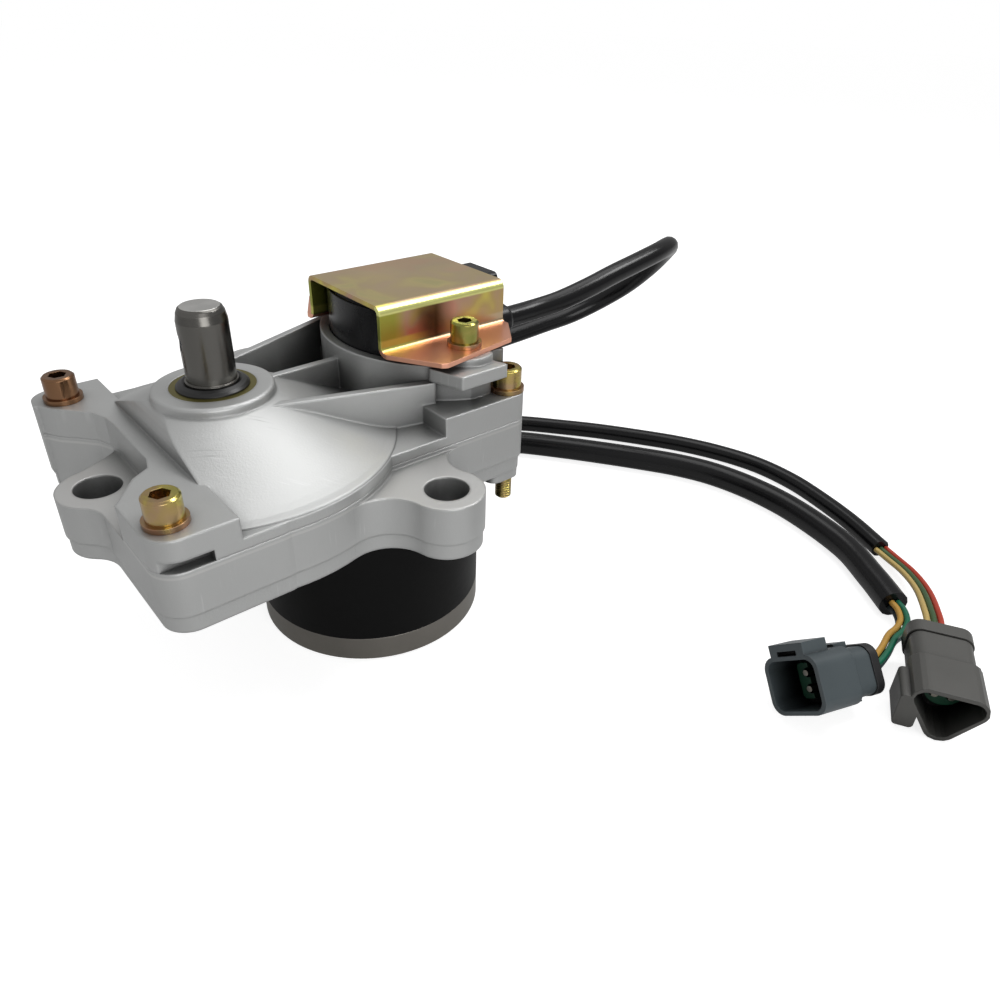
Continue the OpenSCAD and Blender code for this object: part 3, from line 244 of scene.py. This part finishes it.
def make_scuff_group():
    """Sparse fine scratches that run across the part's X axis at an angle."""
    tree, into, out = node_group(
        "Scuffs", [("Turn", "NodeSocketFloat", 0.7), ("Amount", "NodeSocketFloat", 0.5)],
        [("Mask", "NodeSocketFloat")])
    place = add(tree, "ShaderNodeTexCoord")
    turn = add(tree, "ShaderNodeVectorRotate", rotation_type="Z_AXIS")
    stretch = add(tree, "ShaderNodeVectorMath", {1: (60.0, 1500.0, 60.0)}, operation="MULTIPLY")
    lines = add(tree, "ShaderNodeTexNoise", {"Scale": 1.0, "Detail": 2.0})
    patches = add(tree, "ShaderNodeTexNoise", {"Scale": 70.0, "Detail": 2.0})
    thin = add(tree, "ShaderNodeMapRange", {"From Min": 0.62, "From Max": 0.72})
    where = add(tree, "ShaderNodeMapRange", {"From Min": 0.52, "From Max": 0.66})
    both = add(tree, "ShaderNodeMath", operation="MULTIPLY")
    scaled = add(tree, "ShaderNodeMath", operation="MULTIPLY", use_clamp=True)
    join(tree, (place.outputs["Object"], turn.inputs["Vector"]), (into.outputs["Turn"], turn.inputs["Angle"]),
         (turn.outputs["Vector"], stretch.inputs[0]), (stretch.outputs["Vector"], lines.inputs["Vector"]),
         (place.outputs["Object"], patches.inputs["Vector"]),
         (lines.outputs["Fac"], thin.inputs["Value"]), (patches.outputs["Fac"], where.inputs["Value"]),
         (thin.outputs["Result"], both.inputs[0]), (where.outputs["Result"], both.inputs[1]),
         (both.outputs[0], scaled.inputs[0]), (into.outputs["Amount"], scaled.inputs[1]),
         (scaled.outputs[0], out.inputs["Mask"]))
    return tree


def make_film_group():
    """Clouds of colour as on passivated zinc: green, yellow, brown and pink."""
    tree, into, out = node_group(
        "Zinc film", [("Scale", "NodeSocketFloat", 60.0), ("Shift", "NodeSocketFloat", 0.0)],
        [("Color", "NodeSocketColor")])
    place = add(tree, "ShaderNodeTexCoord")
    clouds = add(tree, "ShaderNodeTexNoise", {"Detail": 2.0, "Roughness": 0.5, "Distortion": 0.6})
    moved = add(tree, "ShaderNodeMath", operation="ADD", use_clamp=True)
    ramp = add(tree, "ShaderNodeValToRGB")
    stops = ((0.30, (0.42, 0.46, 0.08)), (0.42, (0.66, 0.56, 0.13)), (0.52, (0.52, 0.37, 0.15)),
             (0.62, (0.50, 0.33, 0.22)), (0.75, (0.56, 0.26, 0.19)))
    for place_on_ramp, _ in stops[2:]:
        ramp.color_ramp.elements.new(place_on_ramp)
    for stop, (place_on_ramp, colour) in zip(ramp.color_ramp.elements, stops):
        stop.position = place_on_ramp
        stop.color = (*colour, 1.0)
    join(tree, (place.outputs["Object"], clouds.inputs["Vector"]),
         (into.outputs["Scale"], clouds.inputs["Scale"]),
         (clouds.outputs["Fac"], moved.inputs[0]), (into.outputs["Shift"], moved.inputs[1]),
         (moved.outputs[0], ramp.inputs["Fac"]), (ramp.outputs["Color"], out.inputs["Color"]))
    return tree


def make_band_group():
    """A soft-edged band between two values."""
    tree, into, out = node_group(
        "Band", [("Value", "NodeSocketFloat", 0.0), ("Low", "NodeSocketFloat", 0.0),
                 ("High", "NodeSocketFloat", 1.0), ("Soft", "NodeSocketFloat", 0.001)],
        [("Mask", "NodeSocketFloat")])
    low = add(tree, "ShaderNodeMath", operation="SUBTRACT")
    high = add(tree, "ShaderNodeMath", operation="SUBTRACT")
    rise = add(tree, "ShaderNodeMath", operation="DIVIDE", use_clamp=True)
    fall = add(tree, "ShaderNodeMath", operation="DIVIDE", use_clamp=True)
    both = add(tree, "ShaderNodeMath", operation="MULTIPLY")
    join(tree, (into.outputs["Value"], low.inputs[0]), (into.outputs["Low"], low.inputs[1]),
         (into.outputs["High"], high.inputs[0]), (into.outputs["Value"], high.inputs[1]),
         (low.outputs[0], rise.inputs[0]), (into.outputs["Soft"], rise.inputs[1]),
         (high.outputs[0], fall.inputs[0]), (into.outputs["Soft"], fall.inputs[1]),
         (rise.outputs[0], both.inputs[0]), (fall.outputs[0], both.inputs[1]),
         (both.outputs[0], out.inputs["Mask"]))
    return tree


def make_painted_shade_group():
    """A mask of the hollow places, where little light gets in, for painting shade into a colour."""
    tree, into, out = node_group(
        "Painted shade", [("Distance", "NodeSocketFloat", 0.01)], [("Mask", "NodeSocketFloat")])
    open_part = add(tree, "ShaderNodeAmbientOcclusion", samples=8)
    turned = add(tree, "ShaderNodeMapRange",
                 {"From Min": 0.25, "From Max": 0.85, "To Min": 1.0, "To Max": 0.0})
    join(tree, (into.outputs["Distance"], open_part.inputs["Distance"]),
         (open_part.outputs["AO"], turned.inputs["Value"]), (turned.outputs["Result"], out.inputs["Mask"]))
    return tree


GROUPS = {}


def placed(tree, name, values=None):
    """A copy of a shared group in a material, with its own values."""
    node = add(tree, "ShaderNodeGroup", node_tree=GROUPS[name])
    for key, value in (values or {}).items():
        node.inputs[key].default_value = value
    return node


def mix_colour(tree, first, second, share):
    """A colour mix; each argument is a socket or a value."""
    node = add(tree, "ShaderNodeMix", data_type="RGBA", clamp_factor=True)
    for socket, value in ((node.inputs[0], share), (node.inputs[6], first), (node.inputs[7], second)):
        if isinstance(value, bpy.types.NodeSocket):
            tree.links.new(value, socket)
        else:
            socket.default_value = value
    return node.outputs[2]


def shade(colour, amount):
    """A colour made lighter or darker, kept opaque."""
    return tuple(min(1.0, c * amount) for c in colour[:3]) + (1.0,)


def along(tree, axis):
    """The place on one axis of the part, in metres."""
    place = add(tree, "ShaderNodeTexCoord")
    split = add(tree, "ShaderNodeSeparateXYZ")
    tree.links.new(place.outputs["Object"], split.inputs[0])
    return split.outputs[axis]


def band(tree, value, low, high, soft):
    """A mask that is 1 where a value lies between two limits."""
    node = placed(tree, "Band", {"Low": low, "High": high, "Soft": soft})
    tree.links.new(value, node.inputs["Value"])
    return node.outputs["Mask"]


def times(tree, first, second):
    """The product of two masks."""
    node = add(tree, "ShaderNodeMath", operation="MULTIPLY")
    join(tree, (first, node.inputs[0]), (second, node.inputs[1]))
    return node.outputs[0]


def white_share(tree):
    """How white the background is for a ray: fully for the camera and glass, partly in polished metal."""
    path = add(tree, "ShaderNodeLightPath")
    seen = add(tree, "ShaderNodeMath", operation="MAXIMUM")
    metal = add(tree, "ShaderNodeMath", {1: WHITE_IN_METAL}, operation="MULTIPLY")
    share = add(tree, "ShaderNodeMath", operation="MAXIMUM")
    join(tree, (path.outputs["Is Camera Ray"], seen.inputs[0]),
         (path.outputs["Is Transmission Ray"], seen.inputs[1]),
         (path.outputs["Is Glossy Ray"], metal.inputs[0]),
         (seen.outputs[0], share.inputs[0]), (metal.outputs[0], share.inputs[1]))
    return share.outputs[0]


def finish(name, colour, metallic, roughness, edge=0.0004, edge_light=1.25, grain=900.0, bump=0.05,
           patch=60.0, vary=0.12, rough_vary=0.08, scuffs=0.0, scuff_turn=0.7, tint=None, thread=None,
           hollow=0.0, dim=0.3, **extra):
    """A procedural finish with wear: rounded light edges, fine grain, patchy tone, scratches, and painted
    shade in the hollows when hollow is given.

    tint takes the node tree and the colour made so far, and gives the colour to use.
    thread is the height below which screw threads show, in metres.
    hollow is how deep the places are that get painted shade, in metres, and dim is how dark the painted shade
    is.
    """
    material = bpy.data.materials.new(name)
    material.use_nodes = True
    tree = material.node_tree
    shader = tree.nodes["Principled BSDF"]
    shader.inputs["Metallic"].default_value = metallic
    for key, value in extra.items():
        shader.inputs[key.replace("_", " ")].default_value = value
    rounded = placed(tree, "Rounded edge", {"Radius": edge})
    grained = placed(tree, "Fine grain", {"Scale": grain, "Patch": patch})
    tone = mix_colour(tree, shade(colour, 1 - vary), shade(colour, 1 + vary), grained.outputs["Tone"])
    colour_so_far = mix_colour(tree, tone, shade(colour, edge_light), rounded.outputs["Edge"])
    if scuffs:
        marks = placed(tree, "Scuffs", {"Turn": scuff_turn, "Amount": scuffs})
        colour_so_far = mix_colour(tree, colour_so_far, shade(colour, 1.5), marks.outputs["Mask"])
    if tint:
        colour_so_far = tint(tree, colour_so_far)
    # Painted shade: the colour goes darker where little light reaches.
    if hollow:
        painted_shade = placed(tree, "Painted shade", {"Distance": hollow})
        colour_so_far = mix_colour(tree, colour_so_far, shade(colour, dim), painted_shade.outputs["Mask"])
    rough = add(tree, "ShaderNodeMapRange",
                {"To Min": roughness - rough_vary, "To Max": roughness + rough_vary})
    rise = add(tree, "ShaderNodeBump", {"Strength": bump, "Distance": GRAIN_RISE})
    join(tree, (colour_so_far, shader.inputs["Base Color"]),
         (grained.outputs["Tone"], rough.inputs["Value"]),
         (rough.outputs["Result"], shader.inputs["Roughness"]),
         (grained.outputs["Height"], rise.inputs["Height"]),
         (rounded.outputs["Normal"], rise.inputs["Normal"]),
         (rise.outputs["Normal"], shader.inputs["Normal"]))
    if thread:
        place = add(tree, "ShaderNodeTexCoord")
        turns = add(tree, "ShaderNodeTexWave", {"Scale": THREAD_SCALE},
                    wave_type="BANDS", bands_direction="Z")
        groove = add(tree, "ShaderNodeBump", {"Strength": 0.9, "Distance": THREAD_RISE})
        join(tree, (place.outputs["Object"], turns.inputs["Vector"]),
             (times(tree, turns.outputs["Fac"], band(tree, along(tree, "Z"), 0.0, thread, THREAD_RISE)),
              groove.inputs["Height"]),
             (rise.outputs["Normal"], groove.inputs["Normal"]),
             (groove.outputs["Normal"], shader.inputs["Normal"]))
    return material


def dress(material, *names):
    """Gives CAD nodes a finish."""
    for name in names:
        NODES[name].data.materials.clear()
        NODES[name].data.materials.append(material)


def colours():
    """The colours set in the panel."""
    return bpy.context.scene.actuator_colours


def sizes():
    """The sizes set in the panel."""
    return bpy.context.scene.actuator_sizes


# Cords


def smooth_route(points, steps):
    """Points on a smooth curve through a route, in metres."""
    route = [Vector(p) * MM for p in points]
    ends = [2 * route[0] - route[1]] + route + [2 * route[-1] - route[-2]]
    path = []
    for a, b, c, d in zip(ends, ends[1:], ends[2:], ends[3:]):
        for k in range(steps):
            t = k / steps
            path.append(0.5 * (2 * b + (c - a) * t + (2 * a - 5 * b + 4 * c - d) * t * t
                               + (3 * b - a - 3 * c + d) * t ** 3))
    return path + [route[-1]]


def make_cord(name, path, diameter, material):
    """A round cord on an open curve."""
    curve = bpy.data.curves.new(name, "CURVE")
    curve.dimensions = "3D"
    curve.bevel_depth = diameter / 2
    curve.bevel_resolution = 5
    curve.use_fill_caps = True
    spline = curve.splines.new("POLY")
    spline.points.add(len(path) - 1)
    for point, place in zip(spline.points, path):
        point.co = (*place, 1.0)
    spline.use_smooth = True
    curve.materials.append(material)
    cord = bpy.data.objects.new(name, curve)
    bpy.context.scene.collection.objects.link(cord)
    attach(cord, "housing")
    return cord


def beside(route, across, up):
    """A lead's route beside the middle of its bundle."""
    points = [Vector(p) for p in route]
    moved = []
    for i, p in enumerate(points):
        way = points[min(i + 1, len(points) - 1)] - points[max(i - 1, 0)]
        side = Vector((way.y, -way.x, 0)).normalized()
        moved.append(p + across * side + up * Vector((0, 0, 1)))
    return moved


# Stage


def make_floor(scene):
    """A pale floor that the camera sees as white, with the part's shadow on it."""
    mesh = bpy.data.meshes.new("floor")
    shape = bmesh.new()
    bmesh.ops.create_grid(shape, x_segments=1, y_segments=1, size=FLOOR_REACH)
    shape.to_mesh(mesh)
    shape.free()
    floor = bpy.data.objects.new("floor", mesh)
    scene.collection.objects.link(floor)
    pale = bpy.data.materials.new("pale_floor")
    pale.use_nodes = True
    tree = pale.node_tree
    shader = tree.nodes["Principled BSDF"]
    shader.inputs["Base Color"].default_value = (0.5, 0.5, 0.5, 1)
    shader.inputs["Roughness"].default_value = 0.9
    shader.inputs["Specular IOR Level"].default_value = 0.1
    shader.inputs["Emission Strength"].default_value = 1.0
    seen = mix_colour(tree, (0, 0, 0, 1), (0.8, 0.8, 0.8, 1), white_share(tree))
    tree.links.new(seen, shader.inputs["Emission Color"])
    mesh.materials.append(pale)


def make_world(scene):
    """Light that falls off from the upper left, white where the camera sees it."""
    world = bpy.data.worlds.new("studio")
    scene.world = world
    world.use_nodes = True
    tree = world.node_tree
    back = tree.nodes["Background"]
    back.inputs["Color"].default_value = (1, 1, 1, 1)
    way = add(tree, "ShaderNodeTexCoord")
    towards = add(tree, "ShaderNodeVectorMath", {1: BRIGHT_SIDE}, operation="DOT_PRODUCT")
    fall = add(tree, "ShaderNodeMapRange",
               {"From Min": -0.6, "From Max": 1.0, "To Min": 0.06, "To Max": 0.50})
    strength = add(tree, "ShaderNodeMix", {"B": 1.0}, data_type="FLOAT")
    join(tree, (way.outputs["Generated"], towards.inputs[0]),
         (towards.outputs["Value"], fall.inputs["Value"]),
         (white_share(tree), strength.inputs["Factor"]), (fall.outputs["Result"], strength.inputs["A"]),
         (strength.outputs["Result"], back.inputs["Strength"]))


def make_lamps(scene):
    """Soft square lamps, each turned to its target."""
    for name, place, target, width, power in LAMPS:
        light = bpy.data.lights.new(name, "AREA")
        light.size = width
        light.energy = power
        lamp = bpy.data.objects.new(name, light)
        scene.collection.objects.link(lamp)
        lamp.location = place
        lamp.rotation_euler = (Vector(target) - Vector(place)).to_track_quat("-Z", "Y").to_euler()


def make_camera(scene):
    """The photograph's camera, from its place, turn, dip and roll."""
    camera = bpy.data.cameras.new("camera")
    camera.sensor_width = 36.0
    camera.lens = CAMERA_LENS
    camera.clip_start = 0.01
    view = bpy.data.objects.new("camera", camera)
    scene.collection.objects.link(view)
    right = Vector((math.cos(CAMERA_TURN), math.sin(CAMERA_TURN), 0))
    ahead = Vector((-math.sin(CAMERA_TURN) * math.cos(CAMERA_DIP),
                    math.cos(CAMERA_TURN) * math.cos(CAMERA_DIP), -math.sin(CAMERA_DIP)))
    down = ahead.cross(right)
    across = math.cos(CAMERA_ROLL) * right + math.sin(CAMERA_ROLL) * down
    up = math.sin(CAMERA_ROLL) * right - math.cos(CAMERA_ROLL) * down
    turn = Matrix((across, up, -ahead)).transposed()
    view.matrix_world = Matrix.Translation(CAMERA_PLACE) @ turn.to_4x4()
    scene.camera = view


class ACTUATOR_OT_stage(bpy.types.Operator):
    """Make the floor, the lights, the world and the camera"""

    bl_idname = "actuator.stage"
    bl_label = "Stage"

    def execute(self, context):
        context.scene.view_settings.view_transform = "Standard"
        make_floor(context.scene)
        make_world(context.scene)
        make_lamps(context.scene)
        make_camera(context.scene)
        return {"FINISHED"}


class ACTUATOR_OT_cables(bpy.types.Operator):
    """Make the two sleeved cables and their coloured leads"""

    bl_idname = "actuator.cables"
    bl_label = "Cables"

    def execute(self, context):
        size = sizes()
        sleeve = finish("sleeve", colours().sleeve, 0.0, 0.24, edge=0.0002, edge_light=1.4, grain=260.0,
                        bump=0.10, patch=40.0, vary=0.2, rough_vary=0.06, Specular_IOR_Level=0.28)
        for name, route, leads, spots, width in (
            ("sensor", SENSOR_ROUTE, SENSOR_LEADS, SENSOR_SPOTS, size.sensor_sleeve),
            ("motor", MOTOR_ROUTE, MOTOR_LEADS, MOTOR_SPOTS, size.motor_sleeve),
        ):
            path = smooth_route(route, ROUTE_STEPS)
            cord = make_cord(f"{name}_cable_sleeve", path, width, sleeve)
            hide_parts(f"{name}_cable")
            gap = size.lead
            for label, colour, across, up in spots:
                skin = finish(f"{name}_lead_{label}", colour, 0.0, 0.38, edge=0.0001, grain=1200.0, bump=0.03)
                lead_path = smooth_route(beside(leads, across * gap / MM, up * gap / MM), ROUTE_STEPS)
                lead = make_cord(f"{name}_lead_{label}", lead_path, gap, skin)
            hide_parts(f"{name}_leads")
        return {"FINISHED"}


class ACTUATOR_OT_castings(bpy.types.Operator):
    """Finish the two cast halves of the gearcase"""

    bl_idname = "actuator.castings"
    bl_label = "Castings"

    def execute(self, context):
        def marks(tree, colour_so_far):
            """Machined lug tops, and a row of rub marks on the dome."""
            across = along(tree, "X")
            depth = along(tree, "Y")
            height = along(tree, "Z")
            lugs = band(tree, height, *LUG_TOPS, 0.0002)
            colour_so_far = mix_colour(tree, colour_so_far, (0.54, 0.54, 0.53, 1), lugs)
            spot = times(tree, band(tree, across, *RUB_ACROSS, 0.006), band(tree, depth, *RUB_DEPTH, 0.004))
            lines = placed(tree, "Scuffs", {"Turn": 0.55, "Amount": 1.0})
            return mix_colour(tree, colour_so_far, (0.30, 0.30, 0.30, 1), times(tree, spot, lines.outputs["Mask"]))

        # hollow and dim paint shade into the castings' recesses.
        cast = finish("cast_aluminium", colours().casting, 0.75, 0.46, edge=sizes().edge, edge_light=1.18,
                      grain=1500.0, bump=0.16, patch=30.0, vary=0.07, rough_vary=0.05, scuffs=0.35,
                      tint=marks, hollow=0.016, dim=0.25)
        dress(cast, "gear_case", "gear_cover")
        return {"FINISHED"}


class ACTUATOR_OT_shaft(bpy.types.Operator):
    """Finish the output shaft, its pin and its seal"""

    bl_idname = "actuator.shaft"
    bl_label = "Output shaft"

    def execute(self, context):
        def turned(tree, colour_so_far):
            """The top end painted brighter: a painted reflection on the turned end face."""
            top = band(tree, along(tree, "Z"), SHAFT_END, FAR, 0.00005)
            return mix_colour(tree, colour_so_far, (0.63, 0.625, 0.60, 1), top)

        ground = finish("ground_steel", (0.145, 0.14, 0.13, 1), 1.0, 0.24, edge=0.0004, edge_light=1.3,
                        grain=1500.0, bump=0.03, vary=0.1, scuffs=0.3, scuff_turn=0.0, tint=turned,
                        Anisotropic=0.5)
        dark = finish("dark_pin", (0.05, 0.05, 0.055, 1), 0.9, 0.35)
        olive = finish("seal_metal", (0.15, 0.13, 0.03, 1), 0.8, 0.35, edge=0.0003)
        rubber = finish("seal_rubber", (0.006, 0.006, 0.006, 1), 0.0, 0.4, edge=0.0003)
        dress(ground, "output_shaft")
        dress(dark, "shaft_cross_pin")
        dress(olive, "seal_case")
        dress(rubber, "seal_lip", "sensor_gasket", "motor_sealing_ring", "sensor_cable_gland",
              "motor_cable_gland")
        return {"FINISHED"}


class ACTUATOR_OT_motor(bpy.types.Operator):
    """Finish the motor's shell and end bell"""

    bl_idname = "actuator.motor"
    bl_label = "Motor"

    def execute(self, context):
        black = finish("motor_black", colours().motor, 0.0, 0.42, edge=0.0004, edge_light=2.0, grain=500.0,
                       bump=0.1, vary=0.2, Specular_IOR_Level=0.08)
        bell = finish("end_bell", (0.20, 0.188, 0.168, 1), 0.9, 0.4, edge=0.0005, edge_light=1.2, grain=800.0,
                      bump=0.08)
        dress(black, "motor_shell")
        dress(bell, "motor_end_bell")
        return {"FINISHED"}


class ACTUATOR_OT_sensor(bpy.types.Operator):
    """Finish the sensor body and its folded bracket"""

    bl_idname = "actuator.sensor"
    bl_label = "Sensor and bracket"

    def execute(self, context):
        def film(tree, colour_so_far):
            """Green, yellow, brown and pink areas of the bracket's passivated film, a darker middle on the
            wall, painted highlights along the folds and a top face painted paler.
            """
            across = along(tree, "X")
            height = along(tree, "Z")
            clouds = placed(tree, "Zinc film", {"Scale": 55.0, "Shift": 0.06})
            cloudy = band(tree, height, BRACKET_CLOUDS, FAR, 0.002)
            colour_so_far = mix_colour(tree, colour_so_far, clouds.outputs["Color"], cloudy)
            wall = band(tree, height, *BRACKET_WALL, 0.0012)
            left = band(tree, across, -FAR, BRACKET_LEFT, 0.005)
            foot_left = band(tree, across, -FAR, BRACKET_FOOT_LEFT, 0.010)
            right = band(tree, across, BRACKET_RIGHT, FAR, 0.008)
            colour_so_far = mix_colour(tree, colour_so_far, (0.36, 0.38, 0.07, 1), times(tree, wall, left))
            dark = times(tree, wall, band(tree, across, *BRACKET_DARK, 0.008))
            colour_so_far = mix_colour(tree, colour_so_far, (0.15, 0.09, 0.05, 1), dark)
            # Painted highlight along the lower bend at the foot, in the film's yellow at the left and pink at
            # the right.
            foot = band(tree, height, *BRACKET_FOOT, 0.0008)
            colour_so_far = mix_colour(tree, colour_so_far, (0.60, 0.58, 0.14, 1), times(tree, foot, foot_left))
            colour_so_far = mix_colour(tree, colour_so_far, (0.55, 0.42, 0.27, 1), times(tree, foot, right))
            depth = along(tree, "Y")
            # Painted highlight: a bright yellow line along the upper bend at the front.
            painted_fold_highlight = times(tree, band(tree, height, *BRACKET_FOLD, 0.0005),
                         band(tree, depth, -FAR, BRACKET_FRONT, 0.0008))
            colour_so_far = mix_colour(tree, colour_so_far, (0.92, 0.92, 0.34, 1), painted_fold_highlight)
            flange = band(tree, height, 0.0, BRACKET_FLANGE, 0.0003)
            colour_so_far = mix_colour(tree, colour_so_far, (0.88, 0.44, 0.30, 1), flange)
            # Painted light: the top face is painted paler, as lit from above.
            pale = mix_colour(tree, colour_so_far, (0.70, 0.57, 0.33, 1), 0.6)
            return mix_colour(tree, colour_so_far, pale, band(tree, height, BRACKET_FOLD[1], FAR, 0.0002))

        body = finish("sensor_black", (0.003, 0.003, 0.004, 1), 0.0, 0.28, edge=0.0005, edge_light=2.0,
                      grain=600.0, bump=0.04, Specular_IOR_Level=0.3)
        bracket = finish("bracket_zinc", (0.50, 0.36, 0.22, 1), 1.0, 0.32, edge=0.0003, edge_light=1.15,
                         grain=900.0, bump=0.03, tint=film)
        dress(body, "sensor_body")
        dress(bracket, "sensor_bracket")
        return {"FINISHED"}


class ACTUATOR_OT_fasteners(bpy.types.Operator):
    """Finish the screws and washers"""

    bl_idname = "actuator.fasteners"
    bl_label = "Fasteners"

    def execute(self, context):
        def film(scale, shift, share):
            """Cloudy passivated colours over a screw or washer, browner at the back left."""
            def tint(tree, colour_so_far):
                clouds = placed(tree, "Zinc film", {"Scale": scale, "Shift": shift})
                colour_so_far = mix_colour(tree, colour_so_far, clouds.outputs["Color"], share)
                brown = times(tree, band(tree, along(tree, "X"), -FAR, -0.04, 0.004),
                              band(tree, along(tree, "Y"), 0.0, FAR, 0.004))
                return mix_colour(tree, colour_so_far, (0.24, 0.13, 0.07, 1), brown)
            return tint

        zinc = finish("yellow_zinc", colours().zinc, 1.0, 0.24, edge=0.0003, edge_light=1.5, grain=700.0,
                      bump=0.05, patch=300.0, vary=0.2, tint=film(130.0, -0.02, 0.5), thread=SCREW_TAILS)
        olive = finish("olive_zinc", (0.22, 0.20, 0.07, 1), 1.0, 0.22, edge=0.0003, edge_light=1.5,
                       grain=700.0, bump=0.05, patch=300.0, vary=0.2, tint=film(130.0, -0.12, 0.3))
        washer = finish("bronze_zinc", (0.26, 0.17, 0.08, 1), 1.0, 0.3, edge=0.0003, edge_light=1.4,
                        patch=200.0, vary=0.25, tint=film(150.0, 0.14, 0.4))
        dress(zinc, "cover_screws")
        dress(olive, "bracket_screws")
        dress(washer, "cover_washers", "bracket_washers")
        return {"FINISHED"}


class ACTUATOR_OT_connectors(bpy.types.Operator):
    """Finish the two sealed connectors"""

    bl_idname = "actuator.connectors"
    bl_label = "Connectors"

    def execute(self, context):
        # hollow and dim paint shade into the plug mouths, the wedges and the contacts.
        grey = finish("sensor_plug", colours().sensor_plug, 0.0, 0.42, edge=0.0005, edge_light=1.2,
                      grain=900.0, bump=0.06, hollow=0.014, dim=0.03, Specular_IOR_Level=0.35)
        blue = finish("motor_plug", colours().motor_plug, 0.0, 0.4, edge=0.0005, edge_light=1.2,
                      grain=900.0, bump=0.06, hollow=0.014, dim=0.03, Specular_IOR_Level=0.35)
        boot = finish("plug_boot", (0.01, 0.01, 0.011, 1), 0.0, 0.45, edge=0.0004, edge_light=1.6)
        green = finish("plug_wedge", (0.004, 0.10, 0.045, 1), 0.0, 0.4, edge=0.0003, hollow=0.014, dim=0.1)
        plated = finish("plug_contact", (0.55, 0.52, 0.45, 1), 1.0, 0.3, edge=0.0001, hollow=0.012, dim=0.1)
        dress(grey, "sensor_connector", "sensor_connector_cap")
        dress(blue, "motor_connector")
        dress(boot, "motor_connector_boot")
        dress(green, "sensor_connector_wedge", "motor_connector_wedge")
        dress(plated, "sensor_connector_contacts", "motor_connector_contacts")
        return {"FINISHED"}


class ACTUATOR_OT_inside(bpy.types.Operator):
    """Finish the gears, bearings and windings inside"""

    bl_idname = "actuator.inside"
    bl_label = "Inside"

    def execute(self, context):
        steel = finish("gear_steel", (0.42, 0.42, 0.43, 1), 1.0, 0.32, edge=0.0002)
        core = finish("core_steel", (0.28, 0.28, 0.30, 1), 0.9, 0.45, edge=0.0002)
        copper = finish("winding", (0.45, 0.16, 0.05, 1), 0.8, 0.4, edge=0.0003)
        bronze = finish("bush_bronze", (0.45, 0.27, 0.09, 1), 1.0, 0.38, edge=0.0002)
        moulded = finish("moulded_gear", (0.60, 0.56, 0.44, 1), 0.0, 0.45, edge=0.0002)
        dark = finish("dark_screw", (0.10, 0.10, 0.105, 1), 0.9, 0.4, edge=0.0002)
        dress(steel, "sector_gear", "sector_key", "motor_shaft", "motor_pinion", "sensor_spindle",
              "shaft_bearing_outer_rings", "shaft_bearing_inner_rings", "shaft_bearing_balls",
              "motor_bearing_outer_rings", "motor_bearing_inner_rings", "motor_bearing_balls")
        dress(core, "stator_core", "motor_rotor")
        dress(copper, "stator_coils")
        dress(bronze, "sensor_bush")
        dress(moulded, "sensor_gear")
        dress(dark, "motor_screws")
        return {"FINISHED"}


OPERATORS = (
    ACTUATOR_OT_stage, ACTUATOR_OT_cables, ACTUATOR_OT_castings, ACTUATOR_OT_shaft, ACTUATOR_OT_motor,
    ACTUATOR_OT_sensor, ACTUATOR_OT_fasteners, ACTUATOR_OT_connectors, ACTUATOR_OT_inside,
)


class ACTUATOR_PT_panel(bpy.types.Panel):
    """Lists the actuator's pieces and settings"""

    bl_idname = "ACTUATOR_PT_panel"
    bl_label = "Governor actuator"
    bl_space_type = "VIEW_3D"
    bl_region_type = "UI"
    bl_category = "Actuator"

    def draw(self, context):
        for settings in (context.scene.actuator_sizes, context.scene.actuator_colours):
            for name in settings.__annotations__:
                self.layout.prop(settings, name)
        for operator in OPERATORS:
            self.layout.operator(operator.bl_idname)


CLASSES = (ActuatorSizes, ActuatorColours, *OPERATORS, ACTUATOR_PT_panel)


def register():
    """Adds the classes and the settings to Blender."""
    for item in CLASSES:
        bpy.utils.register_class(item)
    bpy.types.Scene.actuator_sizes = bpy.props.PointerProperty(type=ActuatorSizes)
    bpy.types.Scene.actuator_colours = bpy.props.PointerProperty(type=ActuatorColours)


def unregister():
    """Takes the settings and the classes out again."""
    del bpy.types.Scene.actuator_colours
    del bpy.types.Scene.actuator_sizes
    for item in reversed(CLASSES):
        bpy.utils.unregister_class(item)


def main():
    """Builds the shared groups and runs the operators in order."""
    register()
    GROUPS["Rounded edge"] = make_edge_group()
    GROUPS["Fine grain"] = make_grain_group()
    GROUPS["Scuffs"] = make_scuff_group()
    GROUPS["Zinc film"] = make_film_group()
    GROUPS["Band"] = make_band_group()
    GROUPS["Painted shade"] = make_painted_shade_group()
    for operator in OPERATORS:
        group, name = operator.bl_idname.split(".")
        getattr(getattr(bpy.ops, group), name)()


if __name__ == "__main__":
    main()
